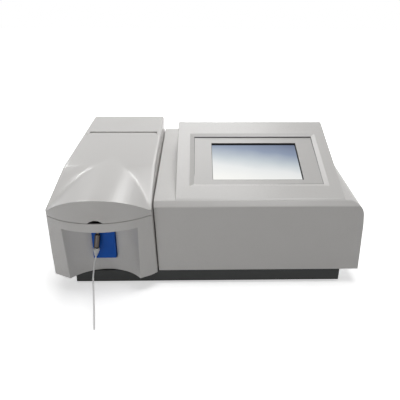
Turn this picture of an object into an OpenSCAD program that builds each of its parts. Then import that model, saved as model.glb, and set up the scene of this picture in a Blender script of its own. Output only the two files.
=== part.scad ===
// Bench chemistry analyzer. A flow-cell module with a hinged lid stands on the left, a main body with
// a sloping touch-screen console on the right, and both stand on a dark plinth.
// Millimetres. X to the right, Y to the back, Z up. The origin is on the desk, under the middle.

/* [Body] */
// Overall width
body_w = 493; // [480:1:510]
// Depth of the main body, front face to back edge
body_d = 345.5; // [340:0.5:356]
// Wall thickness of the mouldings
wall = 3; // [2.6:0.1:3.4]
// Height of the plinth
base_h = 21; // [18:0.5:25]
// Height of the rubber feet
foot_h = 4; // [3:0.5:8]
// Inset of the plinth at the left and right sides
base_inset = 30; // [24:1:36]
// Height of the deck's front edge over the underside of the body
deck_rise = 118.6; // [114:0.2:124]
// Rise of the deck towards the back, in degrees
deck_slope = 4.3; // [3.5:0.1:5]
// Height of the crease across the front over the underside of the body
crease_rise = 81; // [76:1:86]
// How far the crease lies behind the foot of the front
crease_back = 4.8; // [3:0.2:5]
// Height of the brow, where the front meets the bevel below the deck
brow_rise = 111; // [108:0.5:113]
// How far the brow lies behind the foot of the front
brow_back = 5.4; // [5.2:0.1:6.4]
// Run of the bevel from the front to the deck's front edge
bevel_run = 14; // [12:0.5:16]
// Radius of the body's upper right edge
side_r = 24; // [18:1:26]
// Lean of the right side above its crease, in degrees
side_lean = 5; // [3:0.5:7]

/* [Console] */
// Width of the deck strip between the module and the console
strip_w = 30; // [26:1:34]
// Width of the deck ledge to the right of the console
ledge_w = 31; // [28:1:34]
// Slope of the console's face, in degrees
console_slope = 21.2; // [19:0.1:23]
// Run of the console's face, front edge to crest
console_run = 191; // [186:1:200]
// Run of the console's back, crest to deck
console_back = 96; // [80:1:104]
// Radius of the console's front shoulder
console_r = 16; // [12:1:18]
// Margin of the console at each side of the sunken bezel
bezel_margin = 28; // [24:1:32]
// Length of the sunken bezel along the slope
bezel_l = 124.5; // [118:0.5:128]
// Width of the sloping border around the bezel
bezel_border = 7.5; // [5:0.5:9]
// Middle of the bezel along the slope, from the console's front edge
bezel_mid = 101; // [98:1:104]
// Width of the screen window
window_w = 150.5; // [140:0.5:156]
// Length of the screen window along the slope
window_l = 96.5; // [90:0.5:98]
// How far the window's middle lies below the bezel's middle
window_drop = 3.2; // [2:0.2:4]
// How far the bezel lies to the right of the console's middle
bezel_shift = 1.5; // [0:0.5:3]
// Thickness of the bezel plate
bezel_t = 2.5; // [2:0.1:3]
// Thickness of the touch glass
glass_t = 1.8; // [1.1:0.1:2.5]
// Thickness of the display panel
panel_t = 5; // [4:0.5:7]

/* [Module] */
// Width of the module at its foot
module_w = 164; // [160:1:168]
// How much the module narrows towards the back, on its left side
module_taper = 9; // [6:0.5:11]
// Lean of the module's right side, in degrees
module_draft = 2.5; // [2:0.1:3]
// Gap between the module and the main body
module_gap = 1.5; // [1.2:0.1:2]
// How far the bowed front stands before the main body's face
bow_reach = 39.5; // [37:0.5:42]
// Radius of the bowed front
bow_r = 120; // [118:1:124]
// Height of the lid's front seam over the underside of the body
seam_rise = 105.3; // [103:0.1:108]
// Radius of the scooped sample recess
scoop_r = 68.5; // [66:0.5:70]
// Depth of the recess behind the main body's face
scoop_depth = 5.7; // [4:0.1:7]
// Height of the recess's ceiling over the underside of the body
ledge_rise = 91; // [89:0.5:94]

/* [Lid] */
// Distance of the knee in the lid's top from the main body's face
knee_run = 99.8; // [95:0.2:105]
// Height of the knee over the underside of the body
knee_rise = 145.3; // [143:0.1:148]
// Slope of the lid in front of the knee, in degrees
front_slope = 15.3; // [14.6:0.1:16]
// Slope of the lid behind the knee, in degrees
rear_slope = 5.86; // [5.5:0.01:6.2]
// Radius of the lid's dome
dome_r = 118; // [112:1:124]
// Height of the dome's crest over the underside of the body, at the main body's face
dome_rise = 144.1; // [142:0.1:146]
// Rise of the dome's crest towards the back, in degrees
dome_tilt = 1.95; // [1.8:0.05:2.1]
// Distance of the hinge axis from the main body's face
hinge_run = 249.5; // [246:0.5:253]
// Radius of the hinge barrel
barrel_r = 6; // [5:0.1:6.4]
// Radius of the hinge pins
hinge_pin_r = 1.5; // [1.2:0.1:2]
// Width of the finger notch in the lid's front edge
notch_w = 22; // [18:1:26]
// Height of the finger notch
notch_h = 4.6; // [4.4:0.1:5.4]

/* [Aspirate key] */
// Width of the key
key_w = 36; // [32:0.5:40]
// Height of the key
key_h = 57; // [54:0.5:60]
// Height of the key's lower edge over the underside of the body
key_rise = 26; // [24:0.5:28]
// How far the key stands before the main body's face
key_reach = 2.6; // [1.5:0.1:4]
// Radius of the key's pivot pin
key_pin_r = 1.5; // [1.2:0.1:1.8]

/* [Sipper] */
// Radius of the steel ferrule
ferrule_r = 4.4; // [3.8:0.1:4.8]
// Length of the ferrule's sleeve
ferrule_l = 24; // [22:0.5:25]
// Length of the tapered clip
clip_l = 13.5; // [13:0.5:14]
// Radius of the sipper tube
sipper_r = 1.2; // [1:0.05:1.3]

/* [Inside] */
// Thickness of the sheet-metal plates
sheet = 2; // [1.5:0.1:2.5]
// Height of the compartment floor over the underside of the body
tray_rise = 76; // [74:0.5:78]
// Radius of the pump's rotor over its rollers
pump_reach = 19; // [17:0.5:19.5]
// Radius of the pump tube
pump_tube_r = 1.75; // [1.5:0.05:1.9]
// Radius of the filter wheel
wheel_r = 33; // [31:0.5:34]
// Number of filters in the wheel
filter_count = 8; // [5:1:9]
// Side of the square flow-cell block
block_w = 40; // [36:1:42]
// Side of the cooling fan
fan_w = 60; // [50:1:60]
// Number of fan blades
blade_count = 7; // [5:1:9]

/* [Hidden] */
$fn = 96;

// Colours of the finishes
shell_grey = [0.80, 0.80, 0.78];
plinth_grey = [0.22, 0.23, 0.23];
key_blue = [0.08, 0.23, 0.52];
steel = [0.72, 0.73, 0.75];
aluminium = [0.78, 0.79, 0.80];
black = [0.10, 0.10, 0.11];
board_green = [0.10, 0.36, 0.20];
clear = [0.85, 0.92, 0.95];
tube_white = [0.92, 0.92, 0.90];
clip_grey = [0.70, 0.71, 0.70];

// Clearances: running pin, loose seat, parting gap between mouldings
pin_fit = 0.05;
seat_fit = 0.3;
part_gap = 0.6;

// Main planes and places
xl = -body_w / 2;
xr = body_w / 2;
yf = -(body_d + bow_reach) / 2 + bow_reach;
yb = yf + body_d;
zb = foot_h + base_h;
plate_z = zb + sheet;
panel_y = yb - 12;
mx = xl + module_w;
mxc = xl + module_w / 2 - 2.5;
bow_y = yf - bow_reach + bow_r;
far = 60;

// Heights of the deck, the console face and the module's roof over the depth
deck_y = yf + bevel_run;
console_rise = deck_rise + 0.8;
brow_z = zb + brow_rise;
function deck_z(y) = zb + deck_rise + (y - deck_y) * tan(deck_slope);
function console_z(y) = zb + console_rise + (y - deck_y) * tan(console_slope);
crest_y = deck_y + console_run;
crest_z = console_z(crest_y);
console_x0 = mx + strip_w;
console_x1 = xr - ledge_w;
console_xc = (console_x0 + console_x1) / 2;
bezel_w = console_x1 - console_x0 - 2 * bezel_margin;
knee_y = yf + knee_run;
knee_z = zb + knee_rise;
function front_line(y, inset) = knee_z + (y - knee_y) * tan(front_slope) - inset / cos(front_slope);
function rear_line(y, inset) = knee_z + (y - knee_y) * tan(rear_slope) - inset / cos(rear_slope);
function knee_shift(inset) =
    inset * (1 / cos(front_slope) - 1 / cos(rear_slope)) / (tan(front_slope) - tan(rear_slope));
function left_x(y) = xl + module_taper * (y - yf + 8) / (body_d + 8);
function right_x(z) = mx - (z - zb) * tan(module_draft);

// Lid hinge and the seam that parts the lid and the rear cap from the module's housing
hinge_y = yf + hinge_run;
hinge_z = rear_line(hinge_y, barrel_r);
lid_back_y = hinge_y - barrel_r - 1.5;
cap_front_y = hinge_y + barrel_r + 1.5;
seam_z = zb + seam_rise;
cap_seam_z = seam_z + 34;
ear_w = 8.5;
barrel_x0 = left_x(hinge_y) + ear_w;
barrel_x1 = right_x(hinge_z) - ear_w;
ear_gap = 0.5;
hinge_pin_l = 16;
notch_r = (notch_w * notch_w / 4 + notch_h * notch_h) / (2 * notch_h);

// Aspirate key
key_x = mxc + 1.5;
key_z = zb + key_rise;
key_y = yf - key_reach;
key_pivot_y = yf + 14;
key_pivot_z = key_z + key_h - 4;
key_side_gap = 0.6;
key_foot_gap = 2.5;
key_skin = 2;
lug_t = 4;
bracket_y = key_pivot_y + 11;
plunger_z = key_pivot_z - 16;
plunger_r = 1.5;
switch_d = 6.5;
spring_z = key_pivot_z - 38;

// Sipper: a leaning ferrule through the recess's ceiling, its clip and the free tube
scoop_x = mxc + 3;
scoop_y = yf + scoop_depth - scoop_r;
ledge_z = zb + ledge_rise;
sipper_at = [mxc - 6, yf - 12, ledge_z - 28];
sipper_turn = [-9, 8, 0];
stem_r = 2.5;
stem_top = 36;
sipper_up = [cos(sipper_turn.x) * sin(sipper_turn.y), -sin(sipper_turn.x),
             cos(sipper_turn.x) * cos(sipper_turn.y)];
clip_foot = sipper_at - sipper_up * (ferrule_l / 2 + clip_l);
stem_end = sipper_at + sipper_up * stem_top;
// Route of the free tube, from the clip down to the desk in front
sipper_end_z = sipper_r + 0.1;
// Sideways and forward steps from the clip, and the share of the clip's height that is left
sipper_steps = [
    [-2, -4, 0.86], [-2.6, -9, 0.735], [-2.4, -18, 0.62], [-1, -29, 0.53], [0.6, -37, 0.46],
    [2.1, -45, 0.395], [4.3, -57, 0.3], [6.8, -70, 0.21], [9.3, -84, 0.1], [12, -99, 0]
];
sipper_route = concat([clip_foot, clip_foot - sipper_up * 4], [
    for (s = sipper_steps)
        [clip_foot.x + s.x, clip_foot.y + s.y, sipper_end_z + (clip_foot.z - sipper_end_z) * s.z]
]);

// Compartment floor
tray_z = zb + tray_rise;
tray_t = 3;
tray_x0 = left_x(yb) + wall + 0.5;
tray_x1 = right_x(tray_z + tray_t) - wall - 0.5;
tray_y0 = bracket_y + 7;
rib_w = 6;

// Pump
pump_x = tray_x0 + 32;
pump_y = tray_y0 + 41;
pump_z = tray_z + tray_t;
pump_cavity_r = pump_reach + 0.4 + 2 * pump_tube_r + 0.1;
pump_w = 2 * pump_cavity_r + 10;
pump_h = 20;
pump_cover_t = 3;
pump_tube_at = pump_reach + 0.4 + pump_tube_r;
pump_tube_z = pump_z + 10;
roller_r = 5;
shaft_r = 3;
motor_r = 18.5;
motor_l = 43;

// Optics along one axis, front to back: detector, flow cell, filter wheel, lens, lamp
beam_x = mxc + 20;
bench_z = zb + 30;
bench_t = 5;
sink_z = bench_z + bench_t;
sink_h = tray_z + tray_t - sink_z;
peltier_t = 4;
block_z = sink_z + sink_h + peltier_t;
beam_z = block_z + block_w / 2;
beam_r = 4;
cell_w = 12.5;
cell_h = 42;
port_x = 3;
port_h = 6;
port_top = block_z + 5 + cell_h + port_h;
wheel_at = wheel_r - 8;
wheel_z = beam_z - wheel_at;
motor_w = 35;
wheel_motor_l = 26;
bracket_t = 3;
wheel_t = 6;
wheel_shaft_r = 2.5;
filter_r = 6;
lens_l = 18;
lens_r = 10;
lamp_w = 50;
lamp_y = panel_y - 4.5 - lamp_w;
lens_y = lamp_y - lens_l;
wheel_y = lens_y - 5 - wheel_t;
wheel_bracket_y = wheel_y - 2 - bracket_t;
motor_y = wheel_bracket_y - wheel_motor_l;
tray_y1 = motor_y - 2;
block_y = tray_y1 - 6 - block_w / 2;
lamp_h = 90;
lamp_x = beam_x - lamp_w / 2;
socket_h = 50;

// Back panel and what it carries
panel_fit = 0.4;
out_y = panel_y + sheet;
hole_fit = 0.2;
inlet_x = xr - 73;
inlet_z = plate_z + 40;
inlet_w = 27.2;
inlet_h = 20;
rocker_x = inlet_x - 55;
rocker_z = inlet_z;
rocker_w = 11.2;
rocker_r = 8.4;
rocker_tilt = 10;
rocker_pivot_y = out_y - 3;
frame_w = rocker_w + 4;
frame_h = 20;
trunnion_r = 1.2;
trunnion_l = rocker_w / 2 + 1.2;
fan_x = mx + 85;
fan_z = plate_z + 75;
fan_d = 15;
fan_hole_r = fan_w / 2 - 2;
fan_pin_r = 2;
ports_x = fan_x + 85;
ports_z = inlet_z + 30;
serial_w = 30.6;
serial_h = 12.6;
usb_x = ports_x + 35;
usb_w = 12.6;
usb_h = 11.6;
nozzle_x = pump_x - pump_tube_at;
nozzle_z = pump_tube_z;
nozzle_r = 3;
nozzle_tail = 14;

// Boards and fasteners
board_gap = 8;
board_t = 1.6;
board_w = 170;
board_d = 120;
board_x = console_xc;
board_y = yf + 95;
screen_gap = 6;
supply_w = 110;
supply_d = 80;
supply_h = 40;
supply_x = xr - wall - 22 - supply_w;
supply_y = panel_y - 34 - supply_d;
screw_r = 1.5;
screw_l = 12;
boss_r = 5;
boss_h = 16;
main_boss_x = [right_x(zb) + module_gap + wall + 12, xr - wall - boss_r - 1];
main_boss_y = [yf + wall + 20, panel_y - 26];
module_boss_x = [left_x(yb) + wall + boss_r + 1, right_x(zb + boss_h) - wall - boss_r - 1];
module_boss_y = [yf + 52, panel_y - 26];
// Upright bosses that the back panel is screwed to: x and z of each
panel_boss = [
    [left_x(yb) + wall + 5, zb + 60], [right_x(zb + 60) - wall - 5, zb + 60],
    [right_x(zb + 60) + module_gap + wall + 5, zb + 60], [xr - wall - 5, zb + 60]
];
panel_boss_l = 14;

// Extrudes a (Y, Z) outline along X
module along_x(x0, x1) {
    rotate([90, 0, 90])
        translate([0, 0, x0])
            linear_extrude(height = x1 - x0)
                children();
}

// Rod along Y from y0 to y1
module rod_y(x, z, y0, y1, r) {
    translate([x, y0, z])
        rotate([-90, 0, 0])
            cylinder(r = r, h = y1 - y0);
}

// Rod along X from x0 to x1
module rod_x(y, z, x0, x1, r) {
    translate([x0, y, z])
        rotate([0, 90, 0])
            cylinder(r = r, h = x1 - x0);
}

// Box between two corners
module box(low, high) {
    translate(low)
        cube(high - low);
}

// Bar along Y from y0 to y1, w wide and h high about (x, z)
module bar_y(x, z, w, h, y0, y1) {
    box([x - w / 2, y0, z - h / 2], [x + w / 2, y1, z + h / 2]);
}

// Hole in the back panel's plan for a piece of that width and height
module panel_hole(x, z, w, h) {
    translate([x, z])
        square([w + 2 * hole_fit, h + 2 * hole_fit], center = true);
}

function unit(v) = v / norm(v);
function mix(a, b, t) = a * (1 - t) + b * t;

// Point on a smooth curve through the route's points, at segment i and fraction t
function curve_at(p, i, t) =
    let (n = len(p), a = p[max(i - 1, 0)], b = p[i], c = p[i + 1], d = p[min(i + 2, n - 1)])
    0.5 * (2 * b + (c - a) * t + (2 * a - 5 * b + 4 * c - d) * t * t + (3 * b - a - 3 * c + d) * t * t * t);
function curve(p, steps) =
    concat([for (i = [0 : len(p) - 2]) for (k = [0 : steps - 1]) curve_at(p, i, k / steps)], [p[len(p) - 1]]);

// Tube swept along a path: one ring of points at each path point, turned about a fixed side vector
module swept_tube(path, r, side, sides = 8) {
    n = len(path);
    function run(i) = unit(path[min(i + 1, n - 1)] - path[max(i - 1, 0)]);
    rings = [
        for (i = [0 : n - 1])
            let (t = run(i), u = unit(side - t * (side * t)), v = cross(t, u))
            for (k = [0 : sides - 1])
                path[i] + r * (u * cos(360 * k / sides) + v * sin(360 * k / sides))
    ];
    walls = [
        for (i = [0 : n - 2])
            for (k = [0 : sides - 1])
                let (a = i * sides + k, b = i * sides + (k + 1) % sides)
                for (f = [[a, a + sides, b], [b, a + sides, b + sides]])
                    f
    ];
    caps = [
        [for (k = [0 : sides - 1]) k],
        [for (k = [0 : sides - 1]) n * sides - 1 - k]
    ];
    polyhedron(points = rings, faces = concat(walls, caps), convexity = 6);
}

// Half space to the right of the module's leaning side, moved right by shift
module right_of_module(shift) {
    translate([mx + shift / cos(module_draft), 0, zb])
        rotate([0, -module_draft, 0])
            translate([0, yf - 100, -100])
                cube([body_w, body_d + 300, 400]);
}

// Half space to the left of the same side, moved right by shift
module left_of_main(shift) {
    translate([mx + shift / cos(module_draft), 0, zb])
        rotate([0, -module_draft, 0])
            translate([-body_w, yf - 100, -100])
                cube([body_w, body_d + 300, 400]);
}

// Plan of the module: tapered sides and a bowed front
module module_plan(inset) {
    back = inset > 0 ? yb + 5 : yb;
    intersection() {
        polygon([
            [left_x(yf - far) + inset, yf - far], [mx - inset + 5, yf - far],
            [mx - inset + 5, back], [left_x(back) + inset, back]
        ]);
        union() {
            translate([mxc, bow_y])
                circle(r = bow_r - inset);
            translate([xl - far, bow_y])
                square([module_w + 2 * far, yb + far - bow_y]);
        }
    }
}

// Roof of the module: two slopes that meet at the knee, and the dome over the front
module module_roof(inset) {
    along_x(xl - far, mx + far)
        polygon([
            [yf - far, zb - far], [yf - far, front_line(yf - far, inset)],
            [knee_y + knee_shift(inset), rear_line(knee_y + knee_shift(inset), inset)],
            [yb + far, rear_line(yb + far, inset)], [yb + far, zb - far]
        ]);
    translate([mxc, yf, zb + dome_rise])
        rotate([dome_tilt, 0, 0])
            translate([0, -far, -dome_r])
                rotate([-90, 0, 0])
                    cylinder(r = dome_r - inset, h = far + 150, $fn = 128);
}

// Flats that take the lower front corners back, one at each column
module column_flats(inset) {
    flat_turn = 28.7;
    flat_lean = 3;
    for (s = [-1, 1])
        translate([s < 0 ? xl + 1.8 : mx + 1, yf - 7.7, zb])
            rotate([0, 0, s * flat_turn])
                rotate([flat_lean, 0, 0])
                    translate([-2 * far, inset - far, -2 * far])
                        cube([4 * far, far, 6 * far]);
}

// Whole form of the module, every face moved in by inset
module module_form(inset) {
    difference() {
        intersection() {
            translate([0, 0, inset > 0 ? zb - far : zb])
                linear_extrude(height = 4 * far)
                    module_plan(inset);
            module_roof(inset);
        }
        right_of_module(-inset);
        column_flats(inset);
    }
}

// Outline of everything below the seam of the lid and the rear cap, raised by lift
module below_seam(lift) {
    along_x(xl - far, mx + far)
        polygon([
            [yf - far, zb - 2 * far], [yf - far, seam_z + lift], [yf - 8, seam_z + lift],
            [lid_back_y - 7, cap_seam_z + lift], [yb + far, cap_seam_z + lift], [yb + far, zb - 2 * far]
        ]);
}

// Front of the body's outline: leaning back to the crease, steeper to the brow, then the bevel's line
bevel_rise = (deck_rise - brow_rise) / (bevel_run - brow_back);
function bevel_z(y, inset) =
    brow_z + (y - yf - brow_back) * bevel_rise - inset * sqrt(1 + bevel_rise * bevel_rise);
function front_points(inset) =
    let (front = yf + inset, lean = crease_back / crease_rise)
    [
        [front - far * lean, zb - far], [front + crease_back, zb + crease_rise],
        [front + brow_back, bevel_z(front + brow_back, inset)]
    ];

// Where the bevel's line, moved in by inset, meets a roof line of that slope and height at deck_y
function bevel_end(inset, slope, height) =
    let (drop = zb + height - inset / cos(slope) - bevel_z(deck_y, inset),
         y = deck_y + drop / (bevel_rise - tan(slope)))
    [y, bevel_z(y, inset)];

// Deck outline, every face moved in by inset
module deck_outline(inset) {
    back = inset > 0 ? yb + 5 : yb;
    polygon(concat(front_points(inset), [
        bevel_end(inset, deck_slope, deck_rise), [back, deck_z(back) - inset / cos(deck_slope)],
        [back, zb - far]
    ]));
}

// Console outline, every face moved in by inset: its foot is rounded into the bevel
module console_outline(inset) {
    low = inset / cos(console_slope);
    back_y = crest_y + console_back;
    corner = bevel_end(inset, console_slope, console_rise);
    bevel_slope = atan(bevel_rise);
    // Share of its length by which the back slope runs on below the deck
    dip = 0.05;
    foot_steps = 6;
    r = console_r - inset;
    reach = r * tan((bevel_slope - console_slope) / 2);
    end = corner + reach * [cos(console_slope), sin(console_slope)];
    middle = end + r * [sin(console_slope), -cos(console_slope)];
    foot = [
        for (i = [0:foot_steps])
            let (a = bevel_slope + (console_slope - bevel_slope) * i / foot_steps)
            middle + r * [-sin(a), cos(a)]
    ];
    back_top = [crest_y + 8 - inset * 0.4, crest_z - 1 - low];
    back_end = mix(back_top, [back_y - inset, deck_z(back_y) - inset], 1 + dip);
    polygon(concat(front_points(inset), foot, [
        [crest_y - inset * 0.2, console_z(crest_y - inset * 0.2) - low],
        back_top, back_end, [back_end.x, zb - far]
    ]));
}

// Leans the right side in above its crease and rounds its upper edge
side_drop = deck_rise - crease_rise;
module side_edge(inset) {
    r = side_r - inset;
    low = inset - side_drop;
    run = body_d + 3 * far;
    out = 10;
    // The round stands this much proud of the flats, so that it crosses them at a clear angle
    proud = 0.01;
    mid = [(low * sin(side_lean) - r + r * sin(side_lean)) / cos(side_lean), -r];
    touch = mid + r * [cos(side_lean), sin(side_lean)];
    translate([xr - inset, yf, deck_z(yf) - inset / cos(deck_slope)])
        rotate([deck_slope, 0, 0])
            translate([0, run - far, 0])
                rotate([90, 0, 0])
                    linear_extrude(height = run)
                        difference() {
                            polygon([[0, low], [out, low], [out, out], [mid.x, out], mid, touch]);
                            translate(mid)
                                circle(r = r + proud);
                        }
}

// Whole form of the main body, every face moved in by inset
module main_form(inset) {
    difference() {
        union() {
            along_x(mx - far, xr - inset)
                deck_outline(inset);
            along_x(console_x0 + inset, console_x1 - inset)
                console_outline(inset);
        }
        side_edge(inset);
        left_of_main(module_gap + inset);
        if (inset == 0)
            translate([xl, yf - far, zb - 2 * far])
                cube([body_w + far, body_d + 2 * far, 2 * far]);
    }
}

// Frame of the console's face: x along X, y up the slope, z out of the face
module on_console() {
    translate([console_xc + bezel_shift, deck_y, zb + console_rise])
        rotate([console_slope, 0, 0])
            children();
}

// Plate on the console's frame between depths top and top - t, its middle at mid up the slope
module face_plate(mid, w, l, top, t) {
    translate([-w / 2, mid - l / 2, top - t])
        cube([w, l, t]);
}

// Sloping cut for the sunken bezel
module bezel_cut() {
    half_w = bezel_w / 2;
    half_l = bezel_l / 2;
    over = 2;
    under = 1;
    grow = bezel_border * (1 + over / wall);
    lose = bezel_border * under / wall;
    intersection() {
        translate([0, bezel_mid + far * 2, 0])
            rotate([90, 0, 0])
                linear_extrude(height = 4 * far)
                    polygon([
                        [lose - half_w, -wall - under], [half_w - lose, -wall - under],
                        [half_w + grow, over], [-half_w - grow, over]
                    ]);
        translate([-3 * far, bezel_mid, 0])
            rotate([90, 0, 90])
                linear_extrude(height = 6 * far)
                    polygon([
                        [lose - half_l, -wall - under], [half_l - lose, -wall - under],
                        [half_l + grow, over], [-half_l - grow, over]
                    ]);
    }
}

// Four upright bosses at the crossings of two rows, tied to the walls
module floor_bosses(xs, ys) {
    for (x = xs)
        for (y = ys)
            translate([x, y, plate_z])
                cylinder(r = boss_r, h = boss_h);
}

// Screw holes in the same bosses
module floor_boss_holes(xs, ys) {
    for (x = xs)
        for (y = ys)
            translate([x, y, plate_z - 1])
                cylinder(r = screw_r + pin_fit, h = screw_l);
}

// Plinth and feet

module base_tray() {
    x0 = xl + base_inset;
    x1 = xr - base_inset;
    y0 = yf + 1.4;
    y1 = yb - 8;
    floor_t = 3;
    color(plinth_grey)
        difference() {
            box([x0, y0, foot_h], [x1, y1, zb]);
            box([x0 + wall, y0 + wall, foot_h + floor_t], [x1 - wall, y1 - wall, zb + 1]);
        }
}

module feet() {
    foot_r = 9;
    foot_in = 24;
    color(black)
        for (x = [xl + base_inset + foot_in, xr - base_inset - foot_in])
            for (y = [yf + 1.4 + foot_in, yb - 8 - foot_in])
                translate([x, y, 0]) {
                    cylinder(r1 = foot_r - 1, r2 = foot_r, h = 1);
                    translate([0, 0, 1])
                        cylinder(r = foot_r, h = foot_h - 1);
                }
}

module chassis_plate() {
    x0 = left_x(yb) + wall + seat_fit;
    x1 = xr - wall - seat_fit;
    color(steel)
        difference() {
            box([x0, yf + wall + 12, zb], [x1, panel_y - 1, plate_z]);
            box([right_x(zb) - wall - 1, yf, zb - 1], [right_x(zb) + module_gap + wall + 1, yb, plate_z + 1]);
            for (xs = [module_boss_x, main_boss_x])
                floor_plate_holes(xs);
        }
    color(steel)
        plate_bridge(0);
}

// Bridge of the chassis plate under the walls between the module and the main body, grown by slack
module plate_bridge(slack) {
    box([right_x(zb) - wall - 1 - slack, yf + 100 - slack, zb - slack],
        [right_x(zb) + module_gap + wall + 1 + slack, panel_y - 100 + slack, plate_z + slack]);
}

// Clearance holes of the housing screws in the chassis plate
module floor_plate_holes(xs) {
    ys = xs == module_boss_x ? module_boss_y : main_boss_y;
    for (x = xs)
        for (y = ys)
            translate([x, y, zb - 1])
                cylinder(r = screw_r + 0.2, h = sheet + 2);
}

// Main body

module main_housing() {
    color(shell_grey)
        difference() {
            union() {
                difference() {
                    main_form(0);
                    main_form(wall);
                }
                intersection() {
                    main_form(0.5);
                    union() {
                        floor_bosses(main_boss_x, main_boss_y);
                        boss_webs(main_boss_x, main_boss_y);
                        for (b = [panel_boss[2], panel_boss[3]])
                            panel_boss_form(b);
                    }
                }
            }
            on_console()
                bezel_cut();
            plate_bridge(seat_fit);
            floor_boss_holes(main_boss_x, main_boss_y);
            for (b = [panel_boss[2], panel_boss[3]])
                rod_y(b.x, b.y, panel_y - screw_l, panel_y + 1, screw_r + pin_fit);
        }
}

// Webs that tie floor bosses to the side wall that is nearest
module boss_webs(xs, ys) {
    for (y = ys) {
        box([xs[0] - 20, y - 2, plate_z], [xs[0], y + 2, plate_z + boss_h]);
        box([xs[1], y - 2, plate_z], [xs[1] + 20, y + 2, plate_z + boss_h]);
    }
}

// Boss along Y for a screw of the back panel, tied to both sides
module panel_boss_form(b) {
    rod_y(b.x, b.y, panel_y - panel_boss_l, panel_y, 4);
    box([b.x - 6, panel_y - panel_boss_l, b.y - 2], [b.x + 6, panel_y, b.y + 2]);
}

// Display behind the sloping face

module screen_bezel() {
    plate_w = bezel_w + 16;
    plate_l = bezel_l + 14;
    color(shell_grey)
        on_console()
            difference() {
                face_plate(bezel_mid, plate_w, plate_l, -wall, bezel_t);
                face_plate(screen_mid, window_w, window_l, -wall + 1, bezel_t + 2);
            }
}

screen_mid = bezel_mid - window_drop;
display_w = window_w + 13.5;
display_l = window_l + 14;
glass_top = -wall - bezel_t;
panel_top = glass_top - glass_t;
panel_foot = panel_top - panel_t;

module touch_panel() {
    color(clear)
        on_console()
            face_plate(screen_mid, display_w, display_l, glass_top, glass_t);
}

module lcd_module() {
    color(black)
        on_console()
            face_plate(screen_mid, display_w, display_l, panel_top, panel_t);
}

module lcd_rails() {
    rail_w = 8;
    lip = 6;
    lip_t = 2;
    color(steel)
        on_console()
            for (s = [0, 1])
                mirror([s, 0, 0])
                    translate([display_w / 2 + 0.2, screen_mid - display_l / 2, 0]) {
                        box([0, 0, panel_foot - lip_t], [rail_w, display_l, glass_top]);
                        box([-lip, 0, panel_foot - lip_t], [1, display_l, panel_foot]);
                    }
}

module screen_board() {
    board_top = panel_foot - screen_gap;
    chip = [28, 28, 2];
    plug = [10, 50, 6];
    color(board_green)
        on_console() {
            face_plate(screen_mid, display_w - 20, display_l - 12, board_top, board_t);
            translate([-20, screen_mid - 20, board_top - board_t - chip.z])
                cube(chip);
            translate([30, screen_mid - 30, board_top - board_t - plug.z])
                cube(plug);
        }
}

// Spacers of the screen board and of the main board
module standoffs() {
    spacer_r = 3;
    color(steel) {
        on_console()
            for (x = [-1, 1])
                for (y = [-1, 1])
                    translate([x * (display_w / 2 - 18), screen_mid + y * (display_l / 2 - 14),
                               panel_foot - screen_gap])
                        cylinder(r = spacer_r, h = screen_gap);
        for (x = [-1, 1])
            for (y = [-1, 1])
                translate([board_x + x * (board_w / 2 - 6), board_y + y * (board_d / 2 - 6), plate_z])
                    cylinder(r = spacer_r, h = board_gap);
    }
}

// Module housing, rear cap and lid

// Pivot lugs of the key behind the recess's wall
module key_lugs() {
    for (s = [-1, 1])
        translate([key_x + s * (key_w / 2 + key_side_gap + lug_t / 2) - lug_t / 2, 0, 0]) {
            box([0, yf, key_pivot_z - 6], [lug_t, key_pivot_y, key_pivot_z + 6]);
            rod_x(key_pivot_y, key_pivot_z, 0, lug_t, 5);
        }
}

module module_housing() {
    color(shell_grey)
        difference() {
            union() {
                difference() {
                    intersection() {
                        module_form(0);
                        below_seam(0);
                    }
                    difference() {
                        module_form(wall);
                        translate([scoop_x, scoop_y, zb - far])
                            cylinder(r = scoop_r + wall, h = ledge_z + wall - zb + far);
                    }
                }
                intersection() {
                    module_form(0.5);
                    below_seam(-1);
                    union() {
                        floor_bosses(module_boss_x, module_boss_y);
                        boss_webs(module_boss_x, module_boss_y);
                        for (b = [panel_boss[0], panel_boss[1]])
                            panel_boss_form(b);
                        box([xl, tray_y0, tray_z - rib_w], [tray_x0 + rib_w, tray_y1 - 10, tray_z]);
                        box([tray_x1 - rib_w, tray_y0, tray_z - rib_w], [mx, tray_y1 - 10, tray_z]);
                    }
                }
                key_lugs();
            }
            translate([scoop_x, scoop_y, zb - far])
                cylinder(r = scoop_r, h = ledge_z - zb + far);
            box([key_x - key_w / 2 - key_side_gap, key_y - 20, key_z - key_foot_gap],
                [key_x + key_w / 2 + key_side_gap, key_pivot_y + 10, key_z + key_h + 2]);
            rod_x(key_pivot_y, key_pivot_z, key_x - key_w, key_x + key_w, key_pin_r + pin_fit);
            translate(sipper_at)
                rotate(sipper_turn)
                    cylinder(r = stem_r + pin_fit, h = stem_top);
            plate_bridge(seat_fit);
            floor_boss_holes(module_boss_x, module_boss_y);
            for (b = [panel_boss[0], panel_boss[1]])
                rod_y(b.x, b.y, panel_y - screw_l, panel_y + 1, screw_r + pin_fit);
        }
}

// Ear of the rear cap at one end of the hinge barrel
module hinge_ear(x0, x1) {
    along_x(x0, x1) {
        translate([hinge_y, hinge_z])
            circle(r = barrel_r);
        polygon([
            [hinge_y - barrel_r + 0.5, cap_seam_z], [cap_front_y + wall, cap_seam_z],
            [cap_front_y + wall, rear_line(cap_front_y + wall, 0)], [hinge_y, rear_line(hinge_y, 0) - 0.05],
            [hinge_y - barrel_r + 0.5, hinge_z]
        ]);
    }
}

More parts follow.
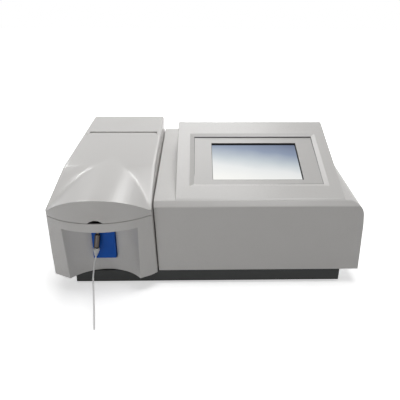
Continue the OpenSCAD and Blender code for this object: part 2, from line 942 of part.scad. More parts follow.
module module_rear_cap() {
    color(shell_grey)
        difference() {
            union() {
                difference() {
                    intersection() {
                        module_form(0);
                        box([xl - far, cap_front_y, cap_seam_z], [mx + far, yb + far, zb + 4 * far]);
                    }
                    intersection() {
                        module_form(wall);
                        box([xl - far, cap_front_y + wall, 0], [mx + far, yb + far, zb + 4 * far]);
                    }
                }
                intersection() {
                    module_form(0);
                    union() {
                        hinge_ear(xl - far, barrel_x0);
                        hinge_ear(barrel_x1, mx + far);
                    }
                }
            }
            rod_x(hinge_y, hinge_z, barrel_x0 - 5, barrel_x1 + 5, hinge_pin_r + 0.01);
        }
}

module lid() {
    color(shell_grey)
        difference() {
            union() {
                difference() {
                    intersection() {
                        module_form(0);
                        box([xl - far, yf - far, zb], [mx + far, lid_back_y, zb + 4 * far]);
                    }
                    module_form(wall);
                    below_seam(part_gap);
                }
                difference() {
                    intersection() {
                        module_form(0);
                        box([barrel_x0 + ear_gap, lid_back_y - 1, hinge_z],
                            [barrel_x1 - ear_gap, hinge_y, zb + 4 * far]);
                    }
                    module_form(wall);
                }
                rod_x(hinge_y, hinge_z, barrel_x0 + ear_gap, barrel_x1 - ear_gap, barrel_r);
            }
            for (x = [barrel_x0, barrel_x1 - hinge_pin_l])
                rod_x(hinge_y, hinge_z, x, x + hinge_pin_l, hinge_pin_r + pin_fit);
            translate([mxc, 0, seam_z + part_gap + notch_h - notch_r])
                rotate([90, 0, 0])
                    cylinder(r = notch_r, h = 4 * far);
        }
}

module lid_hinge_pins() {
    tail = 4;
    color(steel)
        for (x = [barrel_x0 - tail, barrel_x1 + tail - hinge_pin_l])
            rod_x(hinge_y, hinge_z, x, x + hinge_pin_l, hinge_pin_r);
}

// Aspirate key and what it works

module aspirate_key() {
    x0 = key_x - key_w / 2;
    x1 = key_x + key_w / 2;
    solid_h = 10;
    rib_t = 4;
    color(key_blue)
        difference() {
            union() {
                difference() {
                    box([x0, key_y, key_z], [x1, key_pivot_y, key_z + key_h]);
                    box([x0 + key_skin, key_y + 2 * key_skin, key_z + key_skin],
                        [x1 - key_skin, key_pivot_y + 1, key_z + key_h - solid_h]);
                }
                box([key_x - rib_t / 2, key_y + 2 * key_skin, plunger_z - 8],
                    [key_x + rib_t / 2, key_pivot_y, key_z + key_h - solid_h + 1]);
                rod_x(key_pivot_y, key_pivot_z, x0, x1, 4);
            }
            rod_x(key_pivot_y, key_pivot_z, x0 - 1, x1 + 1, key_pin_r + pin_fit);
        }
}

module key_pivot_pin() {
    reach = key_w / 2 + key_side_gap + lug_t;
    color(steel)
        rod_x(key_pivot_y, key_pivot_z, key_x - reach, key_x + reach, key_pin_r);
}

module key_spring() {
    turns = 7;
    coil_r = 3.4;
    wire_r = 0.4;
    y0 = key_y + 2 * key_skin + seat_fit + wire_r;
    y1 = bracket_y - seat_fit - wire_r;
    steps = turns * 10;
    color(steel)
        swept_tube([for (i = [0 : steps])
            let (a = 360 * turns * i / steps)
            [key_x + coil_r * cos(a), y0 + (y1 - y0) * i / steps, spring_z + coil_r * sin(a)]],
            wire_r, [0, 1, 0.01], 6);
}

module key_switch() {
    color(black)
        difference() {
            box([key_x - 10, bracket_y - switch_d, plunger_z - 5], [key_x + 10, bracket_y, plunger_z + 5]);
            rod_y(key_x, plunger_z, bracket_y - switch_d - 1, bracket_y - 1, plunger_r + 0.1);
        }
}

module switch_plunger() {
    color(key_blue)
        rod_y(key_x, plunger_z, key_pivot_y + seat_fit, bracket_y - 3, plunger_r);
}

module switch_bracket() {
    half = 16;
    foot = 14;
    color(steel) {
        box([key_x - half, bracket_y, plate_z], [key_x + half, bracket_y + sheet, plunger_z + 10]);
        box([key_x - half, bracket_y + 0.5, plate_z], [key_x + half, bracket_y + foot, plate_z + sheet]);
    }
}

// Sipper

module sipper_ferrule() {
    half = ferrule_l / 2;
    neck = 2.2;
    color(steel)
        translate(sipper_at)
            rotate(sipper_turn)
                difference() {
                    union() {
                        translate([0, 0, -half + neck])
                            cylinder(r = ferrule_r, h = ferrule_l - 2 * neck);
                        translate([0, 0, -half])
                            cylinder(r1 = ferrule_r - 1.4, r2 = ferrule_r, h = neck);
                        translate([0, 0, half - neck])
                            cylinder(r1 = ferrule_r, r2 = stem_r, h = neck);
                        cylinder(r = stem_r, h = stem_top);
                        translate([0, 0, stem_top - 2.5])
                            cylinder(r = 5, h = 2.5);
                    }
                    translate([0, 0, -half - 1])
                        cylinder(r = 0.8, h = ferrule_l + stem_top);
                }
}

module sipper_clip() {
    foot_r = sipper_r + 0.8;
    color(clip_grey)
        translate(sipper_at)
            rotate(sipper_turn)
                translate([0, 0, -ferrule_l / 2 - clip_l])
                    difference() {
                        union() {
                            cylinder(r1 = foot_r, r2 = ferrule_r + 0.6, h = clip_l - 3);
                            translate([0, 0, clip_l - 3])
                                cylinder(r = ferrule_r + 0.6, h = 3);
                        }
                        translate([0, 0, -1])
                            cylinder(r = 0.8, h = clip_l + 2);
                    }
}

module sipper_tube() {
    color(tube_white)
        swept_tube(curve(sipper_route, 3), sipper_r, [1, 0, 0]);
}

// Flow-cell compartment

module compartment_tray() {
    hole_gap = 3;
    upstand_x0 = beam_x - 34;
    upstand_t = 2.5;
    upstand_h = 71;
    half = block_w / 2 + hole_gap;
    color(shell_grey)
        difference() {
            union() {
                box([tray_x0, tray_y0, tray_z], [tray_x1, tray_y1, tray_z + tray_t]);
                box([upstand_x0, tray_y1 - upstand_t, tray_z], [tray_x1 - 6, tray_y1, tray_z + upstand_h]);
            }
            box([beam_x - half, block_y - half, tray_z - 1],
                [beam_x + half, block_y + half, tray_z + tray_t + 1]);
            translate([pump_x, pump_y, tray_z - 1])
                cylinder(r = shaft_r + 3, h = tray_t + 2);
            rod_y(beam_x, beam_z, tray_y1 - 10, tray_y1 + 1, beam_r + 2);
        }
}

module inlet_tube() {
    top = port_top;
    via = [
        stem_end, stem_end + sipper_up * 8, [stem_end.x + 2, stem_end.y + 22, tray_z + 48],
        [stem_end.x + 6, mix(stem_end.y, block_y, 0.4), tray_z + 56],
        [beam_x - port_x - 3, mix(stem_end.y, block_y, 0.75), tray_z + 63],
        [beam_x - port_x - 1, block_y - 10, top + 9], [beam_x - port_x, block_y - 1, top + 6],
        [beam_x - port_x, block_y, top]
    ];
    color(tube_white)
        swept_tube(curve(via, 5), sipper_r, [1, 0, 0]);
}

// One tube from the flow cell's outlet, round the pump's rotor and on to the back panel
module waste_tube() {
    z = pump_tube_z;
    r = pump_tube_at;
    exit_y = pump_y + pump_w / 2 + 8;
    via_in = [
        [beam_x + port_x, block_y, port_top], [beam_x + port_x, block_y - 2, port_top + 6],
        [beam_x + port_x - 4, block_y - 14, port_top + 7],
        [mix(pump_x + r, beam_x, 0.5), block_y - 36, z + 30],
        [pump_x + r + 3, exit_y + 22, z + 6], [pump_x + r, exit_y, z]
    ];
    loop = [for (a = [0 : -15 : -180]) [pump_x + r * cos(a), pump_y + r * sin(a), z]];
    via_out = [
        [pump_x - r, exit_y, z], [pump_x - r, mix(exit_y, panel_y, 0.35), z],
        [pump_x - r, mix(exit_y, panel_y, 0.7), z], [nozzle_x, panel_y - nozzle_tail, nozzle_z]
    ];
    color(tube_white)
        swept_tube(concat(curve(via_in, 5), loop, curve(via_out, 4)), pump_tube_r, [0.02, 0.01, 1]);
}

module waste_nozzle() {
    collar_r = 6;
    collar_t = 4;
    barb_l = 4;
    bore_r = 1.2;
    color(black)
        difference() {
            union() {
                rod_y(nozzle_x, nozzle_z, panel_y - nozzle_tail, out_y, nozzle_r);
                rod_y(nozzle_x, nozzle_z, panel_y - collar_t, panel_y, collar_r);
                translate([nozzle_x, out_y, nozzle_z])
                    rotate([-90, 0, 0])
                        for (k = [0 : 1])
                            translate([0, 0, k * barb_l])
                                cylinder(r1 = nozzle_r, r2 = nozzle_r - 0.8, h = barb_l);
            }
            rod_y(nozzle_x, nozzle_z, panel_y - nozzle_tail - 1, out_y + 3 * barb_l, bore_r);
        }
}

// Pump

module pump_housing() {
    half = pump_w / 2;
    slot = pump_tube_r + 0.4;
    color(black)
        translate([pump_x, pump_y, pump_z])
            difference() {
                box([-half, -half, 0], [half, half, pump_h]);
                translate([0, 0, 2])
                    cylinder(r = pump_cavity_r, h = pump_h);
                translate([0, 0, -1])
                    cylinder(r = shaft_r + 1.5, h = pump_h);
                for (s = [-1, 1])
                    box([s * pump_tube_at - slot, 0, pump_tube_z - pump_z - slot],
                        [s * pump_tube_at + slot, half + 1, pump_h + 1]);
            }
}

module pump_cover() {
    half = pump_w / 2;
    color(clear)
        translate([pump_x, pump_y, pump_z + pump_h])
            box([-half, -half, 0], [half, half, pump_cover_t]);
}

roller_at = pump_reach - roller_r;
rotor_h = 13;
rotor_z = pump_z + 3;

module pump_rotor() {
    disc_r = pump_reach - 1.5;
    disc_t = 2.5;
    color(aluminium)
        translate([pump_x, pump_y, 0]) {
            for (z = [rotor_z, rotor_z + rotor_h - disc_t])
                translate([0, 0, z])
                    cylinder(r = disc_r, h = disc_t);
            translate([0, 0, rotor_z])
                cylinder(r = shaft_r + 2, h = rotor_h);
            translate([0, 0, tray_z - 14])
                cylinder(r = shaft_r, h = rotor_z - tray_z + 15);
            for (a = [0 : 120 : 240])
                rotate([0, 0, a + 30])
                    translate([roller_at, 0, rotor_z + 1])
                        cylinder(r = 1.5, h = rotor_h - 2);
        }
}

module pump_rollers() {
    color(tube_white)
        for (a = [0 : 120 : 240])
            translate([pump_x, pump_y, rotor_z + 3])
                rotate([0, 0, a + 30])
                    translate([roller_at, 0, 0])
                        difference() {
                            cylinder(r = roller_r, h = rotor_h - 6);
                            translate([0, 0, -1])
                                cylinder(r = 1.5 + pin_fit, h = rotor_h);
                        }
}

module pump_motor() {
    color(steel)
        translate([pump_x, pump_y, tray_z - motor_l])
            difference() {
                cylinder(r = motor_r, h = motor_l);
                translate([0, 0, motor_l - 16])
                    cylinder(r = shaft_r + pin_fit, h = 17);
            }
}

// Optics

module flow_cell() {
    color(clear)
        translate([beam_x, block_y, block_z + 5]) {
            translate([-cell_w / 2, -cell_w / 2, 0])
                cube([cell_w, cell_w, cell_h]);
            for (s = [-1, 1])
                translate([s * port_x, 0, cell_h])
                    cylinder(r = 1.8, h = port_h);
        }
}

module flow_cell_block() {
    half = block_w / 2;
    pocket = cell_w / 2 + 0.1;
    color(aluminium)
        difference() {
            box([beam_x - half, block_y - half, block_z], [beam_x + half, block_y + half, block_z + block_w]);
            box([beam_x - pocket, block_y - pocket, block_z + 5],
                [beam_x + pocket, block_y + pocket, zb + 4 * far]);
            rod_y(beam_x, beam_z, block_y - half - 1, block_y + half + 1, beam_r);
        }
}

module peltier() {
    half = 15;
    color(tube_white)
        box([beam_x - half, block_y - half, block_z - peltier_t], [beam_x + half, block_y + half, block_z]);
}

module heat_sink() {
    half = block_w / 2;
    fin_gap = 3.2;
    fin_pitch = 5.5;
    foot_t = 4;
    color(aluminium)
        difference() {
            box([beam_x - half, block_y - half, sink_z], [beam_x + half, block_y + half, sink_z + sink_h]);
            for (k = [-3 : 3])
                box([beam_x + k * fin_pitch - fin_gap / 2, block_y - half - 1, sink_z + foot_t],
                    [beam_x + k * fin_pitch + fin_gap / 2, block_y + half + 1, sink_z + sink_h - 6]);
        }
}

detector_y = block_y - block_w / 2;
detector_l = 20;
detector_r = 10;

module detector_housing() {
    color(black)
        difference() {
            rod_y(beam_x, beam_z, detector_y - detector_l, detector_y, detector_r);
            rod_y(beam_x, beam_z, detector_y - detector_l + 4, detector_y + 1, beam_r + 1);
        }
}

module detector_board() {
    half = 15;
    y1 = detector_y - detector_l;
    color(board_green)
        box([beam_x - half, y1 - board_t, beam_z - half], [beam_x + half, y1, beam_z + half]);
}

bench_left = 55;
bench_right = 45;
bench_front = 58;
bench_x0 = beam_x - bench_left;
bench_x1 = beam_x + bench_right;
bench_y0 = block_y - bench_front;
bench_y1 = lamp_y + lamp_w + 1;

module optics_bench() {
    color(aluminium)
        box([bench_x0, bench_y0, bench_z], [bench_x1, bench_y1, bench_z + bench_t]);
}

module bench_posts() {
    post_in = 10;
    post_r = 6;
    color(steel)
        for (x = [bench_x0 + post_in, bench_x1 - post_in])
            for (y = [bench_y0 + post_in, bench_y1 - post_in])
                translate([x, y, plate_z])
                    cylinder(r = post_r, h = bench_z - plate_z);
}

module wheel_motor() {
    half = motor_w / 2;
    color(black)
        difference() {
            box([beam_x - half, motor_y, wheel_z - half], [beam_x + half, wheel_bracket_y, wheel_z + half]);
            rod_y(beam_x, wheel_z, motor_y + 6, wheel_bracket_y + 1, wheel_shaft_r + pin_fit);
        }
}

module wheel_bracket() {
    half = motor_w / 2 + 5;
    foot = 12;
    color(steel) {
        difference() {
            box([beam_x - half, wheel_bracket_y, sink_z],
                [beam_x + half, wheel_bracket_y + bracket_t, wheel_z + motor_w / 2 + 2]);
            rod_y(beam_x, wheel_z, wheel_bracket_y - 1, wheel_bracket_y + bracket_t + 1, 11);
        }
        box([beam_x - half, wheel_bracket_y - foot, sink_z],
            [beam_x + half, wheel_bracket_y + 1, sink_z + bracket_t]);
    }
}

// Places the filters or their seats around the wheel
module around_wheel() {
    for (k = [0 : filter_count - 1])
        translate([beam_x, 0, wheel_z])
            rotate([0, 360 * k / filter_count, 0])
                translate([0, 0, wheel_at])
                    children();
}

module filter_wheel() {
    color(black) {
        difference() {
            rod_y(beam_x, wheel_z, wheel_y, wheel_y + wheel_t, wheel_r);
            around_wheel()
                rod_y(0, 0, wheel_y - 1, wheel_y + wheel_t + 1, filter_r + pin_fit);
        }
        rod_y(beam_x, wheel_z, wheel_y - 1, wheel_y + wheel_t + 3, 8);
        rod_y(beam_x, wheel_z, motor_y + 8, wheel_y, wheel_shaft_r);
    }
}

module filters() {
    color([0.55, 0.45, 0.75])
        around_wheel()
            rod_y(0, 0, wheel_y + 1, wheel_y + wheel_t - 1, filter_r);
}

module lens_barrel() {
    color(black)
        difference() {
            rod_y(beam_x, beam_z, lens_y, lamp_y, lens_r + 2.5);
            rod_y(beam_x, beam_z, lens_y - 1, lamp_y + 1, lens_r);
        }
}

module condenser_lens() {
    sag = 2.2;
    ball_r = (lens_r * lens_r + sag * sag) / (2 * sag);
    rim = 3;
    color(clear)
        translate([beam_x, lens_y + lens_l / 2, beam_z])
            rotate([-90, 0, 0])
                intersection() {
                    translate([0, 0, -rim / 2])
                        cylinder(r = lens_r - pin_fit, h = rim + sag);
                    translate([0, 0, rim / 2 + sag - ball_r])
                        sphere(r = ball_r);
                }
}

module lamp_housing() {
    color(aluminium)
        difference() {
            box([lamp_x, lamp_y, sink_z], [lamp_x + lamp_w, lamp_y + lamp_w, sink_z + lamp_h]);
            box([lamp_x + wall, lamp_y + wall, sink_z + wall],
                [lamp_x + lamp_w - wall, lamp_y + lamp_w - wall, sink_z + lamp_h + 1]);
            rod_y(beam_x, beam_z, lamp_y - 1, lamp_y + wall + 1, lens_r - 1);
        }
}

module lamp_socket() {
    half = 9;
    mid_y = lamp_y + lamp_w / 2;
    color(tube_white)
        box([beam_x - half, mid_y - half, sink_z + wall],
            [beam_x + half, mid_y + half, sink_z + wall + socket_h]);
}

module halogen_lamp() {
    bulb_r = 5.5;
    bulb_l = beam_z - (sink_z + wall + socket_h) + 6;
    color(clear)
        translate([beam_x, lamp_y + lamp_w / 2, sink_z + wall + socket_h]) {
            cylinder(r = bulb_r, h = bulb_l);
            translate([0, 0, bulb_l])
                sphere(r = bulb_r);
        }
}

// Boards and supply

module main_board() {
    z = plate_z + board_gap;
    x0 = board_x - board_w / 2;
    y0 = board_y - board_d / 2;
    chip_half = 18;
    chip_h = 3;
    // Plug row at the left edge and coil at the right front corner: place, then size
    plugs_at = [x0 + 12, y0 + 20, z];
    plugs = [8, 70, board_t + 8];
    coil = [26, 26, board_t + 12];
    coil_at = [x0 + board_w - 14 - coil.x, y0 + 14, z];
    color(board_green) {
        box([x0, y0, z], [x0 + board_w, y0 + board_d, z + board_t]);
        box([board_x - chip_half, board_y - chip_half, z],
            [board_x + chip_half, board_y + chip_half, z + board_t + chip_h]);
        box(plugs_at, plugs_at + plugs);
        box(coil_at, coil_at + coil);
    }
}

module power_supply() {
    color(steel)
        box([supply_x, supply_y, plate_z], [supply_x + supply_w, supply_y + supply_d, plate_z + supply_h]);
}

// Back panel

fan_bolt = fan_w / 2 - 5;

module rear_panel() {
    edge = wall + panel_fit;
    module_top = rear_line(panel_y, edge);
    deck_top = deck_z(panel_y) - edge;
    lean_x = xr - edge - side_drop * tan(side_lean);
    corner_r = side_r - wall;
    corner_steps = 6;
    corner = [
        for (i = [0:corner_steps])
            let (a = 90 * i / corner_steps)
            [lean_x - corner_r, deck_top - corner_r] + corner_r * [cos(a), sin(a)]
    ];
    color(steel)
        translate([0, out_y, 0])
            rotate([90, 0, 0])
                linear_extrude(height = sheet)
                    difference() {
                        union() {
                            polygon([
                                [left_x(yb) + edge, plate_z], [right_x(plate_z) - edge, plate_z],
                                [right_x(module_top) - edge, module_top], [left_x(yb) + edge, module_top]
                            ]);
                            polygon(concat([
                                [right_x(plate_z) + module_gap + edge, plate_z], [xr - edge, plate_z],
                                [xr - edge, deck_top - side_drop]
                            ], corner, [[right_x(deck_top) + module_gap + edge, deck_top]]));
                        }
                        for (b = panel_boss)
                            translate([b.x, b.y])
                                circle(r = screw_r + 0.2);
                        panel_hole(inlet_x, inlet_z, inlet_w, inlet_h);
                        panel_hole(rocker_x, rocker_z, frame_w, frame_h);
                        panel_hole(ports_x, ports_z, serial_w, serial_h);
                        panel_hole(usb_x, ports_z, usb_w, usb_h);
                        translate([fan_x, fan_z])
                            circle(r = fan_hole_r);
                        translate([nozzle_x, nozzle_z])
                            circle(r = nozzle_r + pin_fit);
                    }
}

module mains_inlet() {
    flange_w = 50;
    flange_h = 24;
    flange_t = 3;
    body_l = 22;
    mouth_w = 24;
    mouth_h = 16;
    mouth_l = 15;
    blade_gap = 7;
    blade_w = 2;
    blade_h = 4;
    color(black) {
        difference() {
            union() {
                bar_y(inlet_x, inlet_z, flange_w, flange_h, out_y, out_y + flange_t);
                bar_y(inlet_x, inlet_z, inlet_w, inlet_h, out_y - body_l, out_y + 1);
            }
            bar_y(inlet_x, inlet_z, mouth_w, mouth_h, out_y - mouth_l, out_y + flange_t + 1);
        }
        for (x = [-blade_gap, 0, blade_gap])
            bar_y(inlet_x + x, inlet_z, blade_w, blade_h, out_y - mouth_l - 1, out_y - 2);
    }
}

module switch_frame() {
    rim_w = frame_w + 2.8;
    rim_h = frame_h + 4;
    rim_t = 1.5;
    body_l = 14;
    well_w = rocker_w + 0.8;
    well_h = 2 * rocker_r + 0.8;
    well_l = 9;
    trunnion_end = trunnion_l + 0.2;
    color(black)
        difference() {
            union() {
                bar_y(rocker_x, rocker_z, rim_w, rim_h, out_y, out_y + rim_t);
                bar_y(rocker_x, rocker_z, frame_w, frame_h, out_y - body_l, out_y + 1);
            }
            bar_y(rocker_x, rocker_z, well_w, well_h, out_y - well_l, out_y + rim_t + 1);
            rod_x(rocker_pivot_y, rocker_z, rocker_x - trunnion_end, rocker_x + trunnion_end,
                  trunnion_r + pin_fit);
        }
}

// Rocker, rolled to one side about its own pivot: a drum with two flats that meet in a shallow valley
module power_rocker() {
    valley = 4.2;
    brow = 5.6;
    heel = 3;
    brow_half = 8;
    over = 10;
    color(black)
        translate([0, rocker_pivot_y, rocker_z])
            rotate([rocker_tilt, 0, 0]) {
                along_x(rocker_x - rocker_w / 2, rocker_x + rocker_w / 2)
                    intersection() {
                        circle(r = rocker_r);
                        polygon([
                            [valley, 0], [brow, brow_half], [brow, over], [-heel, over],
                            [-heel, -over], [brow, -over], [brow, -brow_half]
                        ]);
                    }
                rod_x(0, 0, rocker_x - trunnion_l, rocker_x + trunnion_l, trunnion_r);
            }
}

module fan_frame() {
    half = fan_w / 2;
    y0 = panel_y - fan_d;
    color(black) {
        difference() {
            box([fan_x - half, y0, fan_z - half], [fan_x + half, panel_y, fan_z + half]);
            rod_y(fan_x, fan_z, y0 - 1, panel_y + 1, fan_hole_r - 0.5);
        }
        difference() {
            for (a = [45, 135])
                translate([fan_x, y0, fan_z])
                    rotate([0, a, 0])
                        box([-half, 0, -2], [half, 2, 2]);
            rod_y(fan_x, fan_z, y0 - 1, y0 + 3, fan_pin_r + pin_fit);
        }
    }
}

module fan_rotor() {
    hub_r = 12;
    y0 = panel_y - fan_d;
    blade_l = fan_hole_r - 1.5 - hub_r;
    color(black) {
        rod_y(fan_x, fan_z, y0 + 3, panel_y - 1, hub_r);
        rod_y(fan_x, fan_z, y0 + 0.2, y0 + 4, fan_pin_r);
        for (k = [0 : blade_count - 1])
            translate([fan_x, y0 + 8, fan_z])
                rotate([0, 360 * k / blade_count, 0])
                    translate([hub_r - 1, 0, 0])
                        rotate([35, 0, 0])
                            translate([0, -0.8, -5])
                                cube([blade_l, 1.6, 10]);
    }
}

module fan_guard() {
    wire_r = 0.8;
    rim_r = fan_hole_r + 1;
    color(steel) {
        for (r = [rim_r * 0.28, rim_r * 0.59, rim_r])
            translate([fan_x, out_y + wire_r, fan_z])
                rotate([-90, 0, 0])
                    rotate_extrude()
                        translate([r, 0])
                            circle(r = wire_r, $fn = 24);
        for (a = [45, 135])
            translate([fan_x, out_y + wire_r, fan_z])
                rotate([0, a, 0])
                    translate([0, 0, -rim_r])
                        cylinder(r = wire_r * 0.9, h = 2 * rim_r, $fn = 24);
    }
}

module data_ports() {
    serial_l = 12;
    serial_out = 4;
    serial_mouth = [18, 8];
    usb_l = 14;
    usb_mouth = [8, 8];
    usb_mouth_l = 8;
    color(steel)
        difference() {
            union() {
                bar_y(ports_x, ports_z, serial_w, serial_h, out_y - serial_l, out_y + serial_out);
                bar_y(usb_x, ports_z, usb_w, usb_h, out_y - usb_l, out_y + 1);
            }
            bar_y(ports_x, ports_z, serial_mouth.x, serial_mouth.y, out_y + 1, out_y + serial_out + 1);
            bar_y(usb_x, ports_z, usb_mouth.x, usb_mouth.y, out_y - usb_mouth_l, out_y + 2);
        }
}

// Screw with its head at the origin and its shank along +Z
module case_screw() {
    translate([0, 0, -2])
        cylinder(r = 3, h = 2);
    cylinder(r = screw_r, h = screw_l - 1);
}

module case_screws() {
    color(steel) {
        for (x = module_boss_x)
            for (y = module_boss_y)
                translate([x, y, zb])
                    case_screw();
        for (x = main_boss_x)
            for (y = main_boss_y)
                translate([x, y, zb])
                    case_screw();
        for (b = panel_boss)
            translate([b.x, out_y, b.y])
                rotate([90, 0, 0])
                    case_screw();
    }
}

base_tray();
feet();
chassis_plate();
main_housing();
rear_panel();
screen_bezel();
touch_panel();
lcd_module();
lcd_rails();
screen_board();
standoffs();
module_housing();
module_rear_cap();
lid();
lid_hinge_pins();
aspirate_key();
key_pivot_pin();
key_spring();
key_switch();
switch_plunger();
switch_bracket();
sipper_ferrule();
sipper_clip();
sipper_tube();
compartment_tray();
inlet_tube();
waste_tube();
waste_nozzle();
pump_housing();
pump_cover();
pump_rotor();
pump_rollers();
pump_motor();
flow_cell();
flow_cell_block();
peltier();
heat_sink();
detector_housing();
detector_board();
optics_bench();
bench_posts();
wheel_motor();
wheel_bracket();
filter_wheel();
filters();
lens_barrel();
condenser_lens();
lamp_housing();
lamp_socket();
halogen_lamp();
main_board();
power_supply();
mains_inlet();
switch_frame();
power_rocker();
fan_frame();
fan_rotor();
fan_guard();
data_ports();
case_screws();
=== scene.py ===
"""Bench chemistry analyzer: its looks, in metres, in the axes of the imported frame."""

import math

import bmesh
import bpy
from mathutils import Matrix, Vector
from mathutils.bvhtree import BVHTree
from mathutils.kdtree import KDTree


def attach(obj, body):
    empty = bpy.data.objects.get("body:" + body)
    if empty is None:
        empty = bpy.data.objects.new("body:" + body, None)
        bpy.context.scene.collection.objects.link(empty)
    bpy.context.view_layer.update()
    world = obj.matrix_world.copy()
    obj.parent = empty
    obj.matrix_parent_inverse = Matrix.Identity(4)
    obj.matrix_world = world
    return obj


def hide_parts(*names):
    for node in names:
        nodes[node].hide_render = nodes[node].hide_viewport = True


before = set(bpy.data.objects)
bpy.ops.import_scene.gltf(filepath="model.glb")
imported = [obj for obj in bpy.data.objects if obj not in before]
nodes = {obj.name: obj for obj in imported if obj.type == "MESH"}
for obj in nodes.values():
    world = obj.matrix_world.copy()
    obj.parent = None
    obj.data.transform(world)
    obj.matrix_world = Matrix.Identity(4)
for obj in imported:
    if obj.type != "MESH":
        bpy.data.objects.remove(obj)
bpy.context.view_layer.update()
scene = bpy.context.scene
scene.view_settings.view_transform = "Standard"

# Camera: where the photograph was taken from, and its framing

PHOTO_PX = 400
FOCAL_PX = 457.26
CAMERA_AT = Vector((-0.01672, -0.78948, 0.43573))
LOOK_DOWN = math.radians(23.80)
LOOK_LEFT = math.radians(-1.51)
ROLL = math.radians(0.36)
MIDDLE_PX = (209.01, 197.46)


def make_camera():
    right = Vector((math.cos(LOOK_LEFT), math.sin(LOOK_LEFT), 0))
    level = Vector((-math.sin(LOOK_LEFT), math.cos(LOOK_LEFT), 0))
    ahead = level * math.cos(LOOK_DOWN) - Vector((0, 0, math.sin(LOOK_DOWN)))
    up = level * math.sin(LOOK_DOWN) + Vector((0, 0, math.cos(LOOK_DOWN)))
    rolled_right = right * math.cos(ROLL) + up * math.sin(ROLL)
    rolled_up = up * math.cos(ROLL) - right * math.sin(ROLL)
    data = bpy.data.cameras.new("photo_camera")
    data.sensor_width = 36
    data.lens = FOCAL_PX / PHOTO_PX * data.sensor_width
    data.shift_x = (PHOTO_PX / 2 - MIDDLE_PX[0]) / PHOTO_PX
    data.shift_y = (MIDDLE_PX[1] - PHOTO_PX / 2) / PHOTO_PX
    data.clip_start, data.clip_end = 0.01, 20
    camera = bpy.data.objects.new("photo_camera", data)
    turn = Matrix((rolled_right, rolled_up, -ahead)).transposed()
    camera.matrix_world = Matrix.Translation(CAMERA_AT) @ turn.to_4x4()
    scene.collection.objects.link(camera)
    scene.camera = camera


make_camera()

# Sipper tube: its route from the clip to the desk

TUBE_R = 0.0012
TUBE_ROUTE = [
    (-0.1765, -0.1690, 0.0631),
    (-0.1766, -0.1690, 0.0621),
    (-0.1768, -0.1692, 0.0607),
    (-0.1771, -0.1696, 0.0591),
    (-0.1775, -0.1705, 0.0577),
    (-0.1781, -0.1716, 0.0562),
    (-0.1785, -0.1730, 0.0544),
    (-0.1788, -0.1744, 0.0520),
    (-0.1790, -0.1760, 0.0493),
    (-0.1791, -0.1780, 0.0467),
    (-0.1791, -0.1806, 0.0442),
    (-0.1791, -0.1837, 0.0418),
    (-0.1789, -0.1870, 0.0396),
    (-0.1785, -0.1906, 0.0376),
    (-0.1780, -0.1945, 0.0357),
    (-0.1775, -0.1980, 0.0340),
    (-0.1770, -0.2009, 0.0325),
    (-0.1764, -0.2034, 0.0311),
    (-0.1759, -0.2060, 0.0297),
    (-0.1754, -0.2085, 0.0284),
    (-0.1750, -0.2110, 0.0272),
    (-0.1744, -0.2140, 0.0257),
    (-0.1737, -0.2177, 0.0239),
    (-0.1730, -0.2218, 0.0218),
    (-0.1722, -0.2260, 0.0198),
    (-0.1714, -0.2302, 0.0180),
    (-0.1705, -0.2345, 0.0162),
    (-0.1697, -0.2390, 0.0143),
    (-0.1689, -0.2435, 0.0121),
    (-0.1681, -0.2482, 0.0097),
    (-0.1672, -0.2530, 0.0075),
    (-0.1662, -0.2585, 0.0051),
    (-0.1652, -0.2641, 0.0029),
    (-0.1647, -0.2672, 0.0016),
]


def make_sipper_tube():
    curve = bpy.data.curves.new("sipper_tube_line", "CURVE")
    curve.dimensions = "3D"
    curve.bevel_depth = 1.0  # times the radius of each point, which also sets the curve's box
    curve.bevel_resolution = 4
    curve.use_fill_caps = True
    spline = curve.splines.new("POLY")
    spline.points.add(len(TUBE_ROUTE) - 1)
    for point, place in zip(spline.points, TUBE_ROUTE):
        point.co = (*place, 1)
        point.radius = TUBE_R
    spline.use_smooth = True
    tube = bpy.data.objects.new("free_sipper_tube", curve)
    scene.collection.objects.link(tube)
    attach(tube, "chassis")
    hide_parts("sipper_tube")
    return tube


sipper_tube = make_sipper_tube()

# Finishes


class Wire:
    """A socket of a finish that takes part in sums; each sum adds a Math node."""

    def __init__(self, finish, socket):
        self.finish = finish
        self.socket = socket

    def math(self, operation, first, second=0.0):
        return self.finish.node("ShaderNodeMath", {"operation": operation}, {0: first, 1: second})

    def __add__(self, other):
        return self.math("ADD", self, other)

    def __sub__(self, other):
        return self.math("SUBTRACT", self, other)

    def __rsub__(self, other):
        return self.math("SUBTRACT", other, self)

    def __mul__(self, other):
        return self.math("MULTIPLY", self, other)

    def __truediv__(self, other):
        return self.math("DIVIDE", self, other)

    def __gt__(self, other):
        return self.math("GREATER_THAN", self, other)

    def __lt__(self, other):
        return self.math("LESS_THAN", self, other)

    def size(self):
        return self.math("ABSOLUTE", self)

    def wave(self):
        return self.math("SINE", self)

    __radd__ = __add__
    __rmul__ = __mul__


